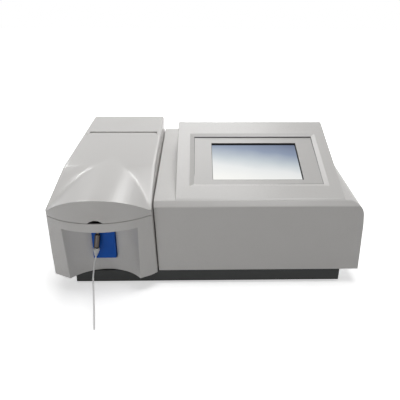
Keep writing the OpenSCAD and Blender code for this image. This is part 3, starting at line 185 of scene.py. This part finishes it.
class Finish:
    """A material: its nodes, and a surface whose given numbers are the same all over."""

    def __init__(self, name, constants=None):
        self.material = bpy.data.materials.new(name)
        self.material.use_nodes = True
        self.tree = self.material.node_tree
        self.surface = self.tree.nodes["Principled BSDF"]
        for socket, value in (constants or {}).items():
            self.surface.inputs[socket].default_value = value

    def node(self, kind, settings=None, sockets=None, out=0):
        made = self.tree.nodes.new(kind)
        for name, value in (settings or {}).items():
            if name == "stops":
                self.set_stops(made.color_ramp.elements, value)
            else:
                setattr(made, name, value)
        for name, value in (sockets or {}).items():
            self.join(value, made.inputs[name])
        return Wire(self, made.outputs[out])

    def join(self, value, socket):
        if isinstance(value, Wire):
            self.tree.links.new(value.socket, socket)
        else:
            socket.default_value = value

    def set_stops(self, elements, stops):
        while len(elements) < len(stops):
            elements.new(0.5)
        for element, (position, colour) in zip(elements, stops):
            element.position = position
            element.color = (*colour, 1)

    def feed(self, socket, value):
        self.join(value, self.surface.inputs[socket])

    def place(self, centre=(0, 0, 0), turn=(0, 0, 0), scale=(1, 1, 1)):
        spot = self.node("ShaderNodeTexCoord", out="Object")
        return self.node(
            "ShaderNodeMapping",
            {"vector_type": "TEXTURE"},
            {"Vector": spot, "Location": centre, "Rotation": turn, "Scale": scale},
        )

    def reach(self, centre=(0, 0, 0)):
        """How far a point of the surface is from that place."""
        sockets = {0: self.place(centre)}
        return self.node("ShaderNodeVectorMath", {"operation": "LENGTH"}, sockets, out="Value")

    def axis(self, place, letter):
        return self.node("ShaderNodeSeparateXYZ", {}, {"Vector": place}, out=letter)

    def noise(self, place, scale, detail=2.0):
        return self.node("ShaderNodeTexNoise", {}, {"Vector": place, "Scale": scale, "Detail": detail})

    def blend(self, share, first, second):
        first, second = [c if isinstance(c, Wire) else (*c, 1) for c in (first, second)]
        return self.node("ShaderNodeMix", {"data_type": "RGBA"}, {0: share, 6: first, 7: second}, out=2)

    def ramp(self, share, stops):
        return self.node("ShaderNodeValToRGB", {"stops": stops}, {"Fac": share})

    def stretch(self, value, low, high, to_low=0.0, to_high=1.0):
        return self.node(
            "ShaderNodeMapRange",
            {"interpolation_type": "SMOOTHSTEP"},
            {"Value": value, "From Min": low, "From Max": high, "To Min": to_low, "To Max": to_high},
        )

    def bump(self, height, depth):
        sockets = {"Distance": depth, "Height": height}
        self.feed("Normal", self.node("ShaderNodeBump", {}, sockets))


def moulded_plastic(name, dark, light, gloss):
    """Moulded plastic: a faint cloud in its colour, fine spark-eroded grain, uneven gloss."""
    finish = Finish(name)
    place = finish.place()
    cloud = finish.noise(place, 9, 3)
    fine = finish.noise(place, 1100, 2)
    finish.feed("Base Color", finish.blend(cloud * 0.75 + fine * 0.25, dark, light))
    finish.feed("Roughness", cloud * 0.02 + fine * 0.05 + (gloss - 0.035))
    finish.bump(fine, 0.00003)
    return finish.material


SHELL_TONES = (0.602, 0.590, 0.574), (0.622, 0.610, 0.594)
BEZEL_TONES = (0.530, 0.519, 0.505), (0.550, 0.539, 0.525)
NOTCH_AT = (-0.167, -0.185, 0.136)
KEY_MIDDLE = (-0.1655, -0.156, 0.078)


def handled_plastic():
    """The shell's light warm grey plastic on the lid, with the faint grey of fingers round its notch."""
    finish = Finish("handled_plastic")
    place = finish.place()
    cloud = finish.noise(place, 9, 3)
    fine = finish.noise(place, 1100, 2)
    clean = finish.blend(cloud * 0.75 + fine * 0.25, *SHELL_TONES)
    touched = finish.stretch(finish.reach(NOTCH_AT), 0.045, 0.008) * finish.noise(place, 60, 4)
    finish.feed("Base Color", finish.blend(touched * 0.35, clean, (0.42, 0.40, 0.37)))
    finish.feed("Roughness", cloud * 0.02 + fine * 0.05 + touched * -0.05 + 0.205)
    finish.bump(fine, 0.00003)
    return finish.material


def plinth_paint():
    """Dark grey powder coat with its orange peel."""
    finish = Finish("plinth_paint", {"Specular IOR Level": 0.3})
    place = finish.place()
    peel = finish.noise(place, 700, 3)
    cloud = finish.noise(place, 14, 4)
    finish.feed("Base Color", finish.blend(cloud, (0.026, 0.028, 0.028), (0.040, 0.042, 0.041)))
    finish.feed("Roughness", peel * 0.2 + 0.40)
    finish.bump(peel, 0.00008)
    return finish.material


def foot_rubber():
    finish = Finish("foot_rubber")
    place = finish.place()
    crumb = finish.noise(place, 1500, 4)
    finish.feed("Base Color", finish.blend(crumb, (0.012, 0.012, 0.012), (0.035, 0.034, 0.033)))
    finish.feed("Roughness", crumb * 0.2 + 0.7)
    finish.bump(crumb, 0.0001)
    return finish.material


def key_plastic():
    """Blue key: glossier than the shell, and polished by the fingertip in its middle."""
    finish = Finish("key_plastic", {"Specular IOR Level": 0.18})
    place = finish.place()
    fine = finish.noise(place, 1000, 2)
    cloud = finish.noise(place, 30, 3)
    polished = finish.stretch(finish.reach(KEY_MIDDLE), 0.024, 0.006)
    finish.feed("Base Color", finish.blend(cloud, (0.003, 0.080, 0.40), (0.005, 0.100, 0.49)))
    finish.feed("Roughness", fine * 0.12 + 0.36 + polished * -0.1)
    finish.bump(fine, 0.00004)
    return finish.material


def drawn_steel(name="drawn_steel", along=(1, 1, 0.04), tone=(0.60, 0.59, 0.575), gloss=0.2):
    """Bright steel with fine drawing lines along one axis and a few dull patches."""
    finish = Finish(name, {"Metallic": 1.0})
    place = finish.place(scale=tuple(1 / a for a in along))
    lines = finish.noise(place, 1800, 3)
    patch = finish.noise(finish.place(), 60, 3)
    dull = tuple(c * 0.82 for c in tone)
    finish.feed("Base Color", finish.blend(patch * 0.6 + lines * 0.4, dull, tone))
    finish.feed("Roughness", lines * 0.12 + patch * 0.12 + (gloss - 0.1))
    finish.bump(lines, 0.00001)
    return finish.material


def zinc_sheet():
    """Plated sheet steel with its large pale spangles."""
    finish = Finish("zinc_sheet", {"Metallic": 1.0})
    place = finish.place()
    spangle = finish.node("ShaderNodeTexVoronoi", {}, {"Vector": place, "Scale": 130.0}, out="Distance")
    fine = finish.noise(place, 600, 3)
    tone = spangle * 60 + fine * 0.3
    finish.feed("Base Color", finish.blend(tone, (0.50, 0.51, 0.52), (0.66, 0.67, 0.68)))
    finish.feed("Roughness", fine * 0.2 + 0.28)
    finish.bump(fine, 0.00002)
    return finish.material


SERIAL_SOCKET = (0.0875, 0, 0.097)
SERIAL_MOUTH_W, USB_MOUTH_W, MOUTH_H = 0.0178, 0.0078, 0.0078
USB_APART = 0.035


def socket_plate():
    """Dull plated sockets with a black plastic block in each mouth."""
    finish = Finish("socket_plate")
    place = finish.place(SERIAL_SOCKET)
    across, up = finish.axis(place, "X"), finish.axis(place, "Z")
    in_serial = across.size() < SERIAL_MOUTH_W / 2
    in_usb = (across - USB_APART).size() < USB_MOUTH_W / 2
    block = (in_serial + in_usb) * (up.size() < MOUTH_H / 2)
    fine = finish.noise(place, 700, 3)
    plate = finish.blend(fine, (0.27, 0.27, 0.275), (0.36, 0.36, 0.365))
    finish.feed("Base Color", finish.blend(block, plate, (0.018, 0.018, 0.02)))
    finish.feed("Metallic", 1.0 - block)
    finish.feed("Roughness", fine * 0.15 + 0.3)
    finish.bump(fine, 0.00002)
    return finish.material


def milled_aluminium(name="milled_aluminium", tone=(0.70, 0.71, 0.72)):
    """Milled aluminium: even cutter lines and a soft bead-blasted grain."""
    finish = Finish(name, {"Metallic": 1.0})
    place = finish.place()
    grain = finish.noise(place, 1600, 2)
    cutter = finish.axis(place, "X") + finish.axis(place, "Z")
    lines = (cutter * 9000).wave() * 0.5 + 0.5
    dull = tuple(c * 0.85 for c in tone)
    finish.feed("Base Color", finish.blend(grain * 0.7 + lines * 0.15, dull, tone))
    finish.feed("Roughness", grain * 0.2 + lines * 0.06 + 0.26)
    finish.bump(grain * 0.6 + lines * 0.4, 0.00001)
    return finish.material


def painted_panel():
    """Back panel: light grey textured paint on sheet steel."""
    finish = Finish("painted_panel")
    place = finish.place()
    peel = finish.noise(place, 900, 3)
    cloud = finish.noise(place, 12, 3)
    finish.feed("Base Color", finish.blend(cloud, (0.50, 0.50, 0.49), (0.56, 0.56, 0.55)))
    finish.feed("Roughness", peel * 0.2 + 0.38)
    finish.bump(peel, 0.00006)
    return finish.material


def clear_acrylic(name, tint, gloss=0.03, index=1.49):
    """Clear plastic or glass, with faint wiping marks in its polish."""
    finish = Finish(name, {"Transmission Weight": 1.0, "IOR": index})
    place = finish.place(scale=(1, 0.2, 1))
    wiped = finish.noise(place, 160, 4)
    pale = tuple(min(1, c * 1.04) for c in tint)
    finish.feed("Base Color", finish.blend(wiped, tint, pale))
    finish.feed("Roughness", wiped * 0.06 + gloss)
    return finish.material


BULB_FOOT = 0.122, 0.116
COIL_FOOT, COIL_TOP = (0.1245, 0.127), (0.1315, 0.129)


def lamp_glass():
    """Halogen bulb: clear quartz, frosted grey at its pressed foot, a warm coil inside its middle."""
    finish = Finish("lamp_glass", {"Transmission Weight": 0.85, "IOR": 1.46, "Emission Strength": 0.4})
    place = finish.place()
    high = finish.axis(place, "Z")
    foot = finish.stretch(high, *BULB_FOOT)
    coil = finish.stretch(high, *COIL_FOOT) * finish.stretch(high, *COIL_TOP)
    finish.feed("Base Color", finish.blend(foot, (0.95, 0.95, 0.93), (0.45, 0.45, 0.44)))
    finish.feed("Roughness", foot * 0.4 + finish.noise(place, 300, 2) * 0.06 + 0.02)
    finish.feed("Emission Color", finish.blend(coil, (0, 0, 0), (1.0, 0.72, 0.38)))
    return finish.material


def tube_plastic():
    """Milk-white fluoropolymer tube with faint draw lines."""
    finish = Finish("tube_plastic", {"Subsurface Weight": 0.1, "Subsurface Radius": (0.001, 0.001, 0.001)})
    place = finish.place()
    cloud = finish.noise(place, 220, 3)
    finish.feed("Base Color", finish.blend(cloud, (0.82, 0.82, 0.81), (0.92, 0.92, 0.91)))
    finish.feed("Roughness", finish.noise(place, 900, 2) * 0.15 + 0.25)
    finish.bump(cloud, 0.00002)
    return finish.material


def clip_plastic():
    """Frosted grey sleeve that lets some light through."""
    finish = Finish("clip_plastic", {"Transmission Weight": 0.35, "IOR": 1.45})
    place = finish.place()
    frost = finish.noise(place, 1300, 3)
    cloud = finish.noise(place, 90, 3)
    finish.feed("Base Color", finish.blend(cloud, (0.72, 0.72, 0.70), (0.86, 0.86, 0.84)))
    finish.feed("Roughness", frost * 0.2 + 0.3)
    finish.bump(frost, 0.00003)
    return finish.material


BOARD_TOP = 0.0368
TRACKS_PER_M = 2400


def circuit_board(name, face, top=1.0):
    """Green board with a net of copper tracks under its lacquer; what stands above top is black."""
    finish = Finish(name)
    place = finish.place(turn=(0, 0, 0.02))
    across, along, high = [finish.axis(place, letter) for letter in "XYZ"]
    if face == "Y":
        along, high = high, 0 - finish.axis(place, "Y")
    jog = finish.node("ShaderNodeTexVoronoi", {"distance": "MANHATTAN"},
                      {"Vector": place, "Scale": 90.0}, out="Color")
    shift = finish.node("ShaderNodeSeparateColor", {}, {"Color": jog}, out="Red")
    tracks = ((across * TRACKS_PER_M + shift * 40).wave() > 0.55) * (shift > 0.35)
    cross_tracks = ((along * TRACKS_PER_M + shift * 40).wave() > 0.55) * (shift < 0.35)
    copper = tracks + cross_tracks
    lacquer = finish.blend(finish.noise(place, 40, 3), (0.012, 0.11, 0.045), (0.02, 0.15, 0.06))
    net = finish.blend(copper * 0.55, lacquer, (0.05, 0.30, 0.12))
    raised = high > top
    finish.feed("Base Color", finish.blend(raised, net, (0.02, 0.02, 0.022)))
    finish.feed("Roughness", copper * -0.08 + raised * 0.2 + finish.noise(place, 400, 2) * 0.1 + 0.28)
    finish.bump(copper, 0.00003)
    return finish.material


def filter_glass(axle):
    """Interference filters: each seat of the wheel has its own colour, from violet round to red."""
    finish = Finish("filter_glass", {"Coat Weight": 0.6, "Coat Roughness": 0.05})
    place = finish.place(axle)
    turn = finish.axis(place, "X").math("ARCTAN2", finish.axis(place, "X"), finish.axis(place, "Z"))
    share = turn / (2 * math.pi) + 0.5
    colours = [(0.16, 0.05, 0.40), (0.05, 0.08, 0.50), (0.03, 0.25, 0.50), (0.03, 0.38, 0.20),
               (0.25, 0.42, 0.05), (0.55, 0.38, 0.03), (0.60, 0.15, 0.02), (0.45, 0.02, 0.03)]
    stops = [(k / 8, colour) for k, colour in enumerate(colours)]
    streak = finish.noise(place, 500, 2)
    finish.feed("Base Color", finish.blend(streak * 0.3, finish.ramp(share, stops), (0.6, 0.6, 0.65)))
    finish.feed("Roughness", streak * 0.12 + 0.06)
    return finish.material


def white_ceramic():
    finish = Finish("white_ceramic")
    place = finish.place()
    pores = finish.noise(place, 1400, 4)
    finish.feed("Base Color", finish.blend(pores, (0.62, 0.60, 0.56), (0.78, 0.77, 0.74)))
    finish.feed("Roughness", pores * 0.2 + 0.5)
    finish.bump(pores, 0.00004)
    return finish.material


CONSOLE_AT = (0.083, -0.139, 0.1444)
CONSOLE_TURN = math.radians(21.2)
BEZEL_MIDDLE, BEZEL_W, BEZEL_L = 0.101, 0.212, 0.1245
SCREEN_MIDDLE, SCREEN_W, SCREEN_L = 0.0978, 0.1505, 0.0965
# Where the painted shade along the display's top and right edges begins, as shares of its length and width
PAINTED_SHADE_TOP, PAINTED_SHADE_RIGHT = 0.968, 0.489


def lit_screen():
    """Lit display under glass: pale at its foot, blue to the upper right, with painted shade in a black
    band along its top and right edges, where the window's walls shade it.
    """
    finish = Finish("lit_screen", {"Emission Strength": 0.87, "Specular IOR Level": 0.15})
    place = finish.place(CONSOLE_AT, (CONSOLE_TURN, 0, 0))
    across = finish.axis(place, "X") / SCREEN_W
    up = (finish.axis(place, "Y") - SCREEN_MIDDLE) / SCREEN_L + 0.5
    glow = finish.noise(place, 22, 2)
    share = (up + across * 0.3 + glow * 0.12) * 0.85
    stops = [(0.0, (1.0, 1.0, 0.96)), (0.3, (0.85, 0.87, 0.87)), (0.5, (0.57, 0.63, 0.67)),
             (0.75, (0.25, 0.31, 0.43)), (1.0, (0.14, 0.18, 0.28))]
    # Painted shade: the display is black along its top and right edges, where the window's walls shade it
    unshaded = (up < PAINTED_SHADE_TOP) * (across < PAINTED_SHADE_RIGHT)
    finish.feed("Emission Color", finish.blend(unshaded, (0, 0, 0), finish.ramp(share, stops)))
    finish.feed("Base Color", finish.blend(glow, (0.008, 0.008, 0.009), (0.014, 0.014, 0.016)))
    finish.feed("Roughness", finish.noise(place, 300, 2) * 0.05 + 0.3)
    return finish.material


SHELL = moulded_plastic("shell_plastic", *SHELL_TONES, 0.28)
HANDLED = handled_plastic()
BLACK = moulded_plastic("black_plastic", (0.014, 0.014, 0.015), (0.028, 0.028, 0.029), 0.45)
STEEL = drawn_steel()
ALUMINIUM = milled_aluminium()
TUBE = tube_plastic()
WHEEL_AXLE = (-0.147, 0, 0.103)

finishes = {
    SHELL: ["main_housing", "module_housing", "module_rear_cap", "compartment_tray"],
    moulded_plastic("bezel_plastic", *BEZEL_TONES, 0.33): ["screen_bezel"],
    HANDLED: ["lid"],
    plinth_paint(): ["base_tray"],
    foot_rubber(): ["feet"],
    key_plastic(): ["aspirate_key", "switch_plunger"],
    STEEL: [
        "lid_hinge_pins", "key_pivot_pin", "key_spring", "bench_posts", "case_screws", "fan_guard",
        "standoffs",
    ],
    # The ferrule's steel has a near-black brown tone: painted reflection of the dark surroundings seen in
    # its middle
    drawn_steel("ferrule_steel_painted_dark", (1, 1, 0.03), (0.075, 0.066, 0.060), 0.2): ["sipper_ferrule"],
    zinc_sheet(): ["chassis_plate", "switch_bracket", "wheel_bracket", "power_supply", "lcd_rails"],
    socket_plate(): ["data_ports"],
    drawn_steel("motor_can_steel", (1, 1, 0.02), (0.48, 0.48, 0.49), 0.34): ["pump_motor"],
    ALUMINIUM: ["flow_cell_block", "heat_sink", "optics_bench", "lamp_housing", "pump_rotor"],
    painted_panel(): ["rear_panel"],
    BLACK: [
        "key_switch", "waste_nozzle", "pump_housing", "wheel_motor", "filter_wheel", "lens_barrel",
        "detector_housing", "mains_inlet", "switch_frame", "power_rocker", "fan_frame", "fan_rotor",
        "lcd_module",
    ],
    clear_acrylic("cover_acrylic", (0.93, 0.95, 0.95)): ["pump_cover"],
    clear_acrylic("cell_quartz", (0.92, 0.96, 0.97), 0.01, 1.46): ["flow_cell", "condenser_lens"],
    lamp_glass(): ["halogen_lamp"],
    TUBE: ["inlet_tube", "waste_tube", "pump_rollers"],
    clip_plastic(): ["sipper_clip"],
    circuit_board("main_circuit", "Z", BOARD_TOP): ["main_board"],
    circuit_board("screen_circuit", "Z"): ["screen_board"],
    circuit_board("detector_circuit", "Y"): ["detector_board"],
    filter_glass(WHEEL_AXLE): ["filters"],
    white_ceramic(): ["lamp_socket", "peltier"],
    lit_screen(): ["touch_panel"],
}
finish_of = {node: material for material, names in finishes.items() for node in names}


def dress(piece, material):
    piece.data.materials.clear()
    piece.data.materials.append(material)


for node, material in finish_of.items():
    dress(nodes[node], material)
dress(sipper_tube, TUBE)

# Moulded edges: a copy of each shell whose outer edges are rounded

# The turn of the surface that shows as an edge, for faces above each area
SHARP_TURNS = [(0.0, math.radians(32)), (0.0004, math.radians(12)), (0.003, math.radians(1))]
MERGE_WITHIN = 2e-6
SLIVER = 6e-5
FLAT_TURN = math.radians(0.6)
EDGE_TURN = math.radians(25)
ABOVE_EDGE = 0.0003


def merged_copy(node):
    bm = bmesh.new()
    bm.from_mesh(nodes[node].data)
    bmesh.ops.remove_doubles(bm, verts=bm.verts, dist=MERGE_WITHIN)
    bmesh.ops.dissolve_degenerate(bm, edges=bm.edges, dist=SLIVER)
    bmesh.ops.dissolve_limit(bm, angle_limit=FLAT_TURN, verts=bm.verts, edges=bm.edges)
    return bm


def stands_free(edge, skin):
    """Whether this is an outer edge: nothing of the same piece lies over it."""
    middle = (edge.verts[0].co + edge.verts[1].co) / 2
    out = (edge.link_faces[0].normal + edge.link_faces[1].normal).normalized()
    return skin.ray_cast(middle + out * ABOVE_EDGE, out)[0] is None


def round_edges(bm, rounds):
    """Rounds the free edges that each rule picks, by that rule's radius."""
    for radius, fits in rounds:
        skin = BVHTree.FromBMesh(bm)
        picked = []
        for edge in bm.edges:
            if edge.is_manifold and edge.calc_face_angle_signed(0) > EDGE_TURN:
                if fits(edge) and stands_free(edge, skin):
                    picked.append(edge)
        bmesh.ops.bevel(bm, geom=picked, offset=radius, offset_type="OFFSET", segments=3,
                        profile=0.5, affect="EDGES", clamp_overlap=False, material=-1)


def place_copy(bm, node, body):
    """Puts the finished copy in the place of its CAD node."""
    for face in bm.faces:
        face.smooth = True
    for edge in bm.edges:
        smaller = min((face.calc_area() for face in edge.link_faces), default=0.0)
        bend = edge.calc_face_angle(0)
        edge.smooth = not any(smaller > area and bend > turn for area, turn in SHARP_TURNS)
    mesh = bpy.data.meshes.new(node + "_moulded")
    bm.to_mesh(mesh)
    bm.free()
    piece = bpy.data.objects.new(node + "_moulded", mesh)
    scene.collection.objects.link(piece)
    evened = piece.modifiers.new("even", "WEIGHTED_NORMAL")
    evened.keep_sharp = True
    dress(piece, finish_of[node])
    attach(piece, body)
    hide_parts(node)


def softened(node, body, rounds):
    bm = merged_copy(node)
    round_edges(bm, rounds)
    place_copy(bm, node, body)


def every_edge(edge):
    return True


def right_roof_edge(edge):
    """The upper right edge of the module's roof."""
    normals = [face.normal for face in edge.link_faces]
    return max(n.x for n in normals) > 0.9 and max(n.z for n in normals) > 0.8


# Lid: its roof is cut into small cells, and those by the valleys and the knee settle into soft hollows

CELL = 0.004
SETTLE_REACH = 0.013
SETTLE_PASSES = 14
ROOF_TURN = math.radians(35)
VALLEY_BEND, KNEE_BEND = -0.02, 0.1
SIDE_ROUND = 0.003
SIDE_LEAN = math.radians(2.5)
SIDE_FOOT = Vector((-0.0825, 0, 0.025))
SIDE_OUT = Vector((math.cos(SIDE_LEAN), 0, math.sin(SIDE_LEAN)))


def on_side_round(face):
    """Whether this face belongs to the rounded edge along the module's leaning right side."""
    inward = (SIDE_FOOT - face.calc_center_median()).dot(SIDE_OUT)
    return face.normal.x > 0.2 and inward < SIDE_ROUND


def roof_faces(bm):
    """Faces of the roof: all that follow from its largest face without a sharp turn."""
    first = max((face for face in bm.faces if face.normal.z > 0.9), key=lambda face: face.calc_area())
    found, waiting = {first: None}, [first]
    while waiting:
        for edge in waiting.pop().edges:
            if not edge.is_manifold or edge.calc_face_angle(0) > ROOF_TURN:
                continue
            for face in edge.link_faces:
                if face not in found and face.normal.z > 0.6 and not on_side_round(face):
                    found[face] = None
                    waiting.append(face)
    return list(found)


def cut_cells(bm, faces):
    low = [min(vert.co[k] for face in faces for vert in face.verts) for k in range(2)]
    high = [max(vert.co[k] for face in faces for vert in face.verts) for k in range(2)]
    edges = dict.fromkeys(edge for face in faces for edge in face.edges)
    verts = dict.fromkeys(vert for face in faces for vert in face.verts)
    geom = [*faces, *edges, *verts]
    for k, across in enumerate((Vector((1, 0, 0)), Vector((0, 1, 0)))):
        for step in range(1, int((high[k] - low[k]) / CELL)):
            at = across * (low[k] + step * CELL)
            geom = bmesh.ops.bisect_plane(bm, geom=geom, dist=2e-4, plane_co=at, plane_no=across)["geom"]
    return {item for item in geom if isinstance(item, bmesh.types.BMFace)}


def turns_in(edge, faces):
    """Whether this edge is in a valley of the roof, or on the knee that crosses it."""
    if len(edge.link_faces) != 2 or not all(face in faces for face in edge.link_faces):
        return False
    bend = edge.calc_face_angle_signed(0)
    along = (edge.verts[1].co - edge.verts[0].co).normalized()
    return bend < VALLEY_BEND or (abs(along.x) > 0.99 and bend > KNEE_BEND)


def settle_roof(bm, faces):
    creases = [(edge.verts[0].co + edge.verts[1].co) / 2 for edge in bm.edges if turns_in(edge, faces)]
    tree = KDTree(len(creases))
    for index, place in enumerate(creases):
        tree.insert(place, index)
    tree.balance()
    inner = {v for f in faces for v in f.verts if all(g in faces for g in v.link_faces)}
    near = [v for v in inner if tree.find(v.co)[2] < SETTLE_REACH]
    for _ in range(SETTLE_PASSES):
        bmesh.ops.smooth_vert(bm, verts=near, factor=0.5,
                              use_axis_x=True, use_axis_y=True, use_axis_z=True)


ROOF_ROUNDS = [(SIDE_ROUND, right_roof_edge), (0.0006, every_edge)]


def make_lid():
    bm = merged_copy("lid")
    round_edges(bm, ROOF_ROUNDS)
    settle_roof(bm, cut_cells(bm, roof_faces(bm)))
    place_copy(bm, "lid", "lid")


make_lid()
softened("module_rear_cap", "chassis", ROOF_ROUNDS)
for node, body, slot, radius in [
    ("module_housing", "chassis", "shell_light", 0.0009),
    ("main_housing", "chassis", "shell_light", 0.0014),
    ("screen_bezel", "chassis", "shell_light", 0.0005),
    ("base_tray", "chassis", "plinth_dark", 0.0009),
    ("aspirate_key", "key", "key_blue", 0.0009),
    ("power_rocker", "rocker", "black_plastic", 0.0004),
    ("pump_rotor", "pump_rotor", "aluminium", 0.0004),
    ("feet", "chassis", "rubber_black", 0.0008),
    ("compartment_tray", "chassis", "shell_light", 0.0005),
    ("pump_housing", "chassis", "black_plastic", 0.0008),
    ("pump_cover", "chassis", "clear_glass", 0.0005),
    ("flow_cell_block", "chassis", "aluminium", 0.0006),
    ("detector_housing", "chassis", "black_plastic", 0.0006),
    ("sipper_ferrule", "chassis", "bright_steel", 0.0003),
    ("sipper_clip", "chassis", "clip_grey", 0.0003),
    ("rear_panel", "chassis", "bright_steel", 0.0004),
    ("mains_inlet", "chassis", "black_plastic", 0.0005),
    ("switch_frame", "chassis", "black_plastic", 0.0003),
    ("fan_frame", "chassis", "black_plastic", 0.0006),
    ("data_ports", "chassis", "bright_steel", 0.0003),
    ("case_screws", "chassis", "bright_steel", 0.0004),
    ("lamp_housing", "chassis", "aluminium", 0.0005),
    ("wheel_motor", "chassis", "black_plastic", 0.0008),
    ("pump_motor", "chassis", "bright_steel", 0.0008),
    ("power_supply", "chassis", "bright_steel", 0.0010),
]:
    softened(node, body, [(radius, every_edge)])

# Screen: a black band round the sunken bezel, painted shade for the shadow gap at its foot, and a black
# liner in its window

CONSOLE = Matrix.Translation(CONSOLE_AT) @ Matrix.Rotation(CONSOLE_TURN, 4, "X")


def make_ring(name, width, length, thick, low, high, middle, extra_top, tilt=(0.0, 0.0)):
    """Upright band of the given outer size on the console's face, wider along its upper side."""
    bm = bmesh.new()
    bmesh.ops.create_grid(bm, x_segments=1, y_segments=1, size=0.5)
    bmesh.ops.scale(bm, vec=(width, length, 1), verts=bm.verts)
    core = list(bm.faces)
    bmesh.ops.inset_region(bm, faces=core, thickness=thick, use_boundary=True, use_even_offset=True)
    inner_top = [vert for face in core for vert in face.verts if vert.co.y > 0]
    bmesh.ops.translate(bm, vec=(0, -extra_top, 0), verts=inner_top)
    bmesh.ops.delete(bm, geom=core, context="FACES")
    raised = bmesh.ops.extrude_face_region(bm, geom=list(bm.faces))
    top = [item for item in raised["geom"] if isinstance(item, bmesh.types.BMVert)]
    bmesh.ops.translate(bm, vec=(0, 0, high - low), verts=top)
    bmesh.ops.recalc_face_normals(bm, faces=bm.faces)
    bmesh.ops.bevel(bm, geom=list(bm.edges), offset=thick * 0.25, offset_type="OFFSET",
                    segments=2, profile=0.5, affect="EDGES", clamp_overlap=True, material=-1)
    for angle, axis in zip(tilt, "XY"):
        lean = Matrix.Rotation(math.radians(angle), 3, axis)
        bmesh.ops.rotate(bm, verts=bm.verts, cent=(0, 0, 0), matrix=lean)
    bmesh.ops.transform(bm, verts=bm.verts, matrix=CONSOLE @ Matrix.Translation((0, middle, low)))
    mesh = bpy.data.meshes.new(name)
    bm.to_mesh(mesh)
    bm.free()
    ring = bpy.data.objects.new(name, mesh)
    scene.collection.objects.link(ring)
    dress(ring, BLACK)
    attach(ring, "chassis")


# Painted shade: this black band stands for the shadow gap at the foot of the bezel's border, wider and
# raised along its upper side, where that shadow shows most
make_ring("bezel_shadow_band", width=BEZEL_W - 0.0002, length=BEZEL_L - 0.0002, thick=0.0005,
          low=-0.0036, high=-0.0024, middle=BEZEL_MIDDLE, extra_top=0.0012, tilt=(0.60, -0.09))
make_ring("window_liner", width=SCREEN_W - 0.0001, length=SCREEN_L - 0.0001, thick=0.0004,
          low=-0.0055, high=-0.0032, middle=SCREEN_MIDDLE, extra_top=0.0)

# Studio: pale floor, soft lamps, white beyond

# Each lamp: its name, place, side and power in watts
LAMP_AIM = Vector((-0.05, 0, 0.12))
LAMPS = [
    ("top_lamp", (0.3, -0.15, 2.2), 1.0, 16.5),
    ("console_lamp", (0.05, 0.88, 1.72), 0.7, 6),
    ("border_lamp", (-0.38, 0.76, 1.70), 0.2, 1.6),
    ("back_right_lamp", (0.10, 1.1, 1.1), 0.35, 2.2),
    ("dome_lamp", (0.03, 1.08, 0.77), 0.2, 0.15),
    ("valley_lamp", (-0.72, 1.0, 1.03), 0.15, 1.2),
    ("front_fill_lamp", (-0.4, -2.1, 0.15), 0.6, 3.6),
    ("recess_lamp", (-0.42, -0.75, 0.08), 0.15, 0.3),
]
for name, place, size, power in LAMPS:
    data = bpy.data.lights.new(name, "AREA")
    data.energy, data.size = power, size
    lamp = bpy.data.objects.new(name, data)
    lamp.location = place
    lamp.rotation_euler = (LAMP_AIM - Vector(place)).to_track_quat("-Z", "Y").to_euler()
    scene.collection.objects.link(lamp)

SKY_LEVEL = 0.18
FLOOR_HALF = 6
FLOOR_DROP = 0.0002
SHADOW_FROM, SHADOW_TO = 0.25, 0.9


def make_sky():
    """Even soft light, seen as white by the camera, in metal and through glass."""
    world = bpy.data.worlds.new("studio_sky")
    scene.world = world
    world.use_nodes = True
    tree = world.node_tree
    path = tree.nodes.new("ShaderNodeLightPath")
    seen = path.outputs["Is Camera Ray"]
    for ray in ("Is Glossy Ray", "Is Transmission Ray"):
        either = tree.nodes.new("ShaderNodeMath")
        either.operation = "MAXIMUM"
        tree.links.new(seen, either.inputs[0])
        tree.links.new(path.outputs[ray], either.inputs[1])
        seen = either.outputs[0]
    level = tree.nodes.new("ShaderNodeMapRange")
    tree.nodes["Background"].inputs["Color"].default_value = (1, 1, 1, 1)
    level.inputs["To Min"].default_value = SKY_LEVEL
    level.inputs["To Max"].default_value = 1.0
    tree.links.new(seen, level.inputs["Value"])
    tree.links.new(level.outputs[0], tree.nodes["Background"].inputs["Strength"])


make_sky()


def make_floor():
    mesh = bpy.data.meshes.new("floor")
    bm = bmesh.new()
    below_feet = Matrix.Translation((0, 0, -FLOOR_DROP))
    bmesh.ops.create_grid(bm, x_segments=1, y_segments=1, size=FLOOR_HALF, matrix=below_feet)
    bm.to_mesh(mesh)
    bm.free()
    floor = bpy.data.objects.new("floor", mesh)
    scene.collection.objects.link(floor)
    finish = Finish("floor_paper", {"Roughness": 0.9, "Specular IOR Level": 0.0, "Emission Strength": 1.0})
    seen = finish.node("ShaderNodeLightPath", out="Is Camera Ray")
    for ray in ("Is Glossy Ray", "Is Transmission Ray"):
        seen = seen.math("MAXIMUM", seen, finish.node("ShaderNodeLightPath", out=ray))
    place = finish.place()
    fibre = finish.noise(place, 60, 3)
    pale = finish.blend(fibre, (0.60, 0.60, 0.60), (0.62, 0.62, 0.62))
    finish.feed("Base Color", finish.blend(seen, pale, (1.0, 1.0, 1.0)))
    beyond_shadow = finish.stretch(finish.reach(), SHADOW_FROM, SHADOW_TO)
    glow = finish.blend(beyond_shadow, (0.55, 0.55, 0.55), (1.0, 1.0, 1.0))
    finish.feed("Emission Color", finish.blend(seen, (0, 0, 0), glow))
    dress(floor, finish.material)


make_floor()
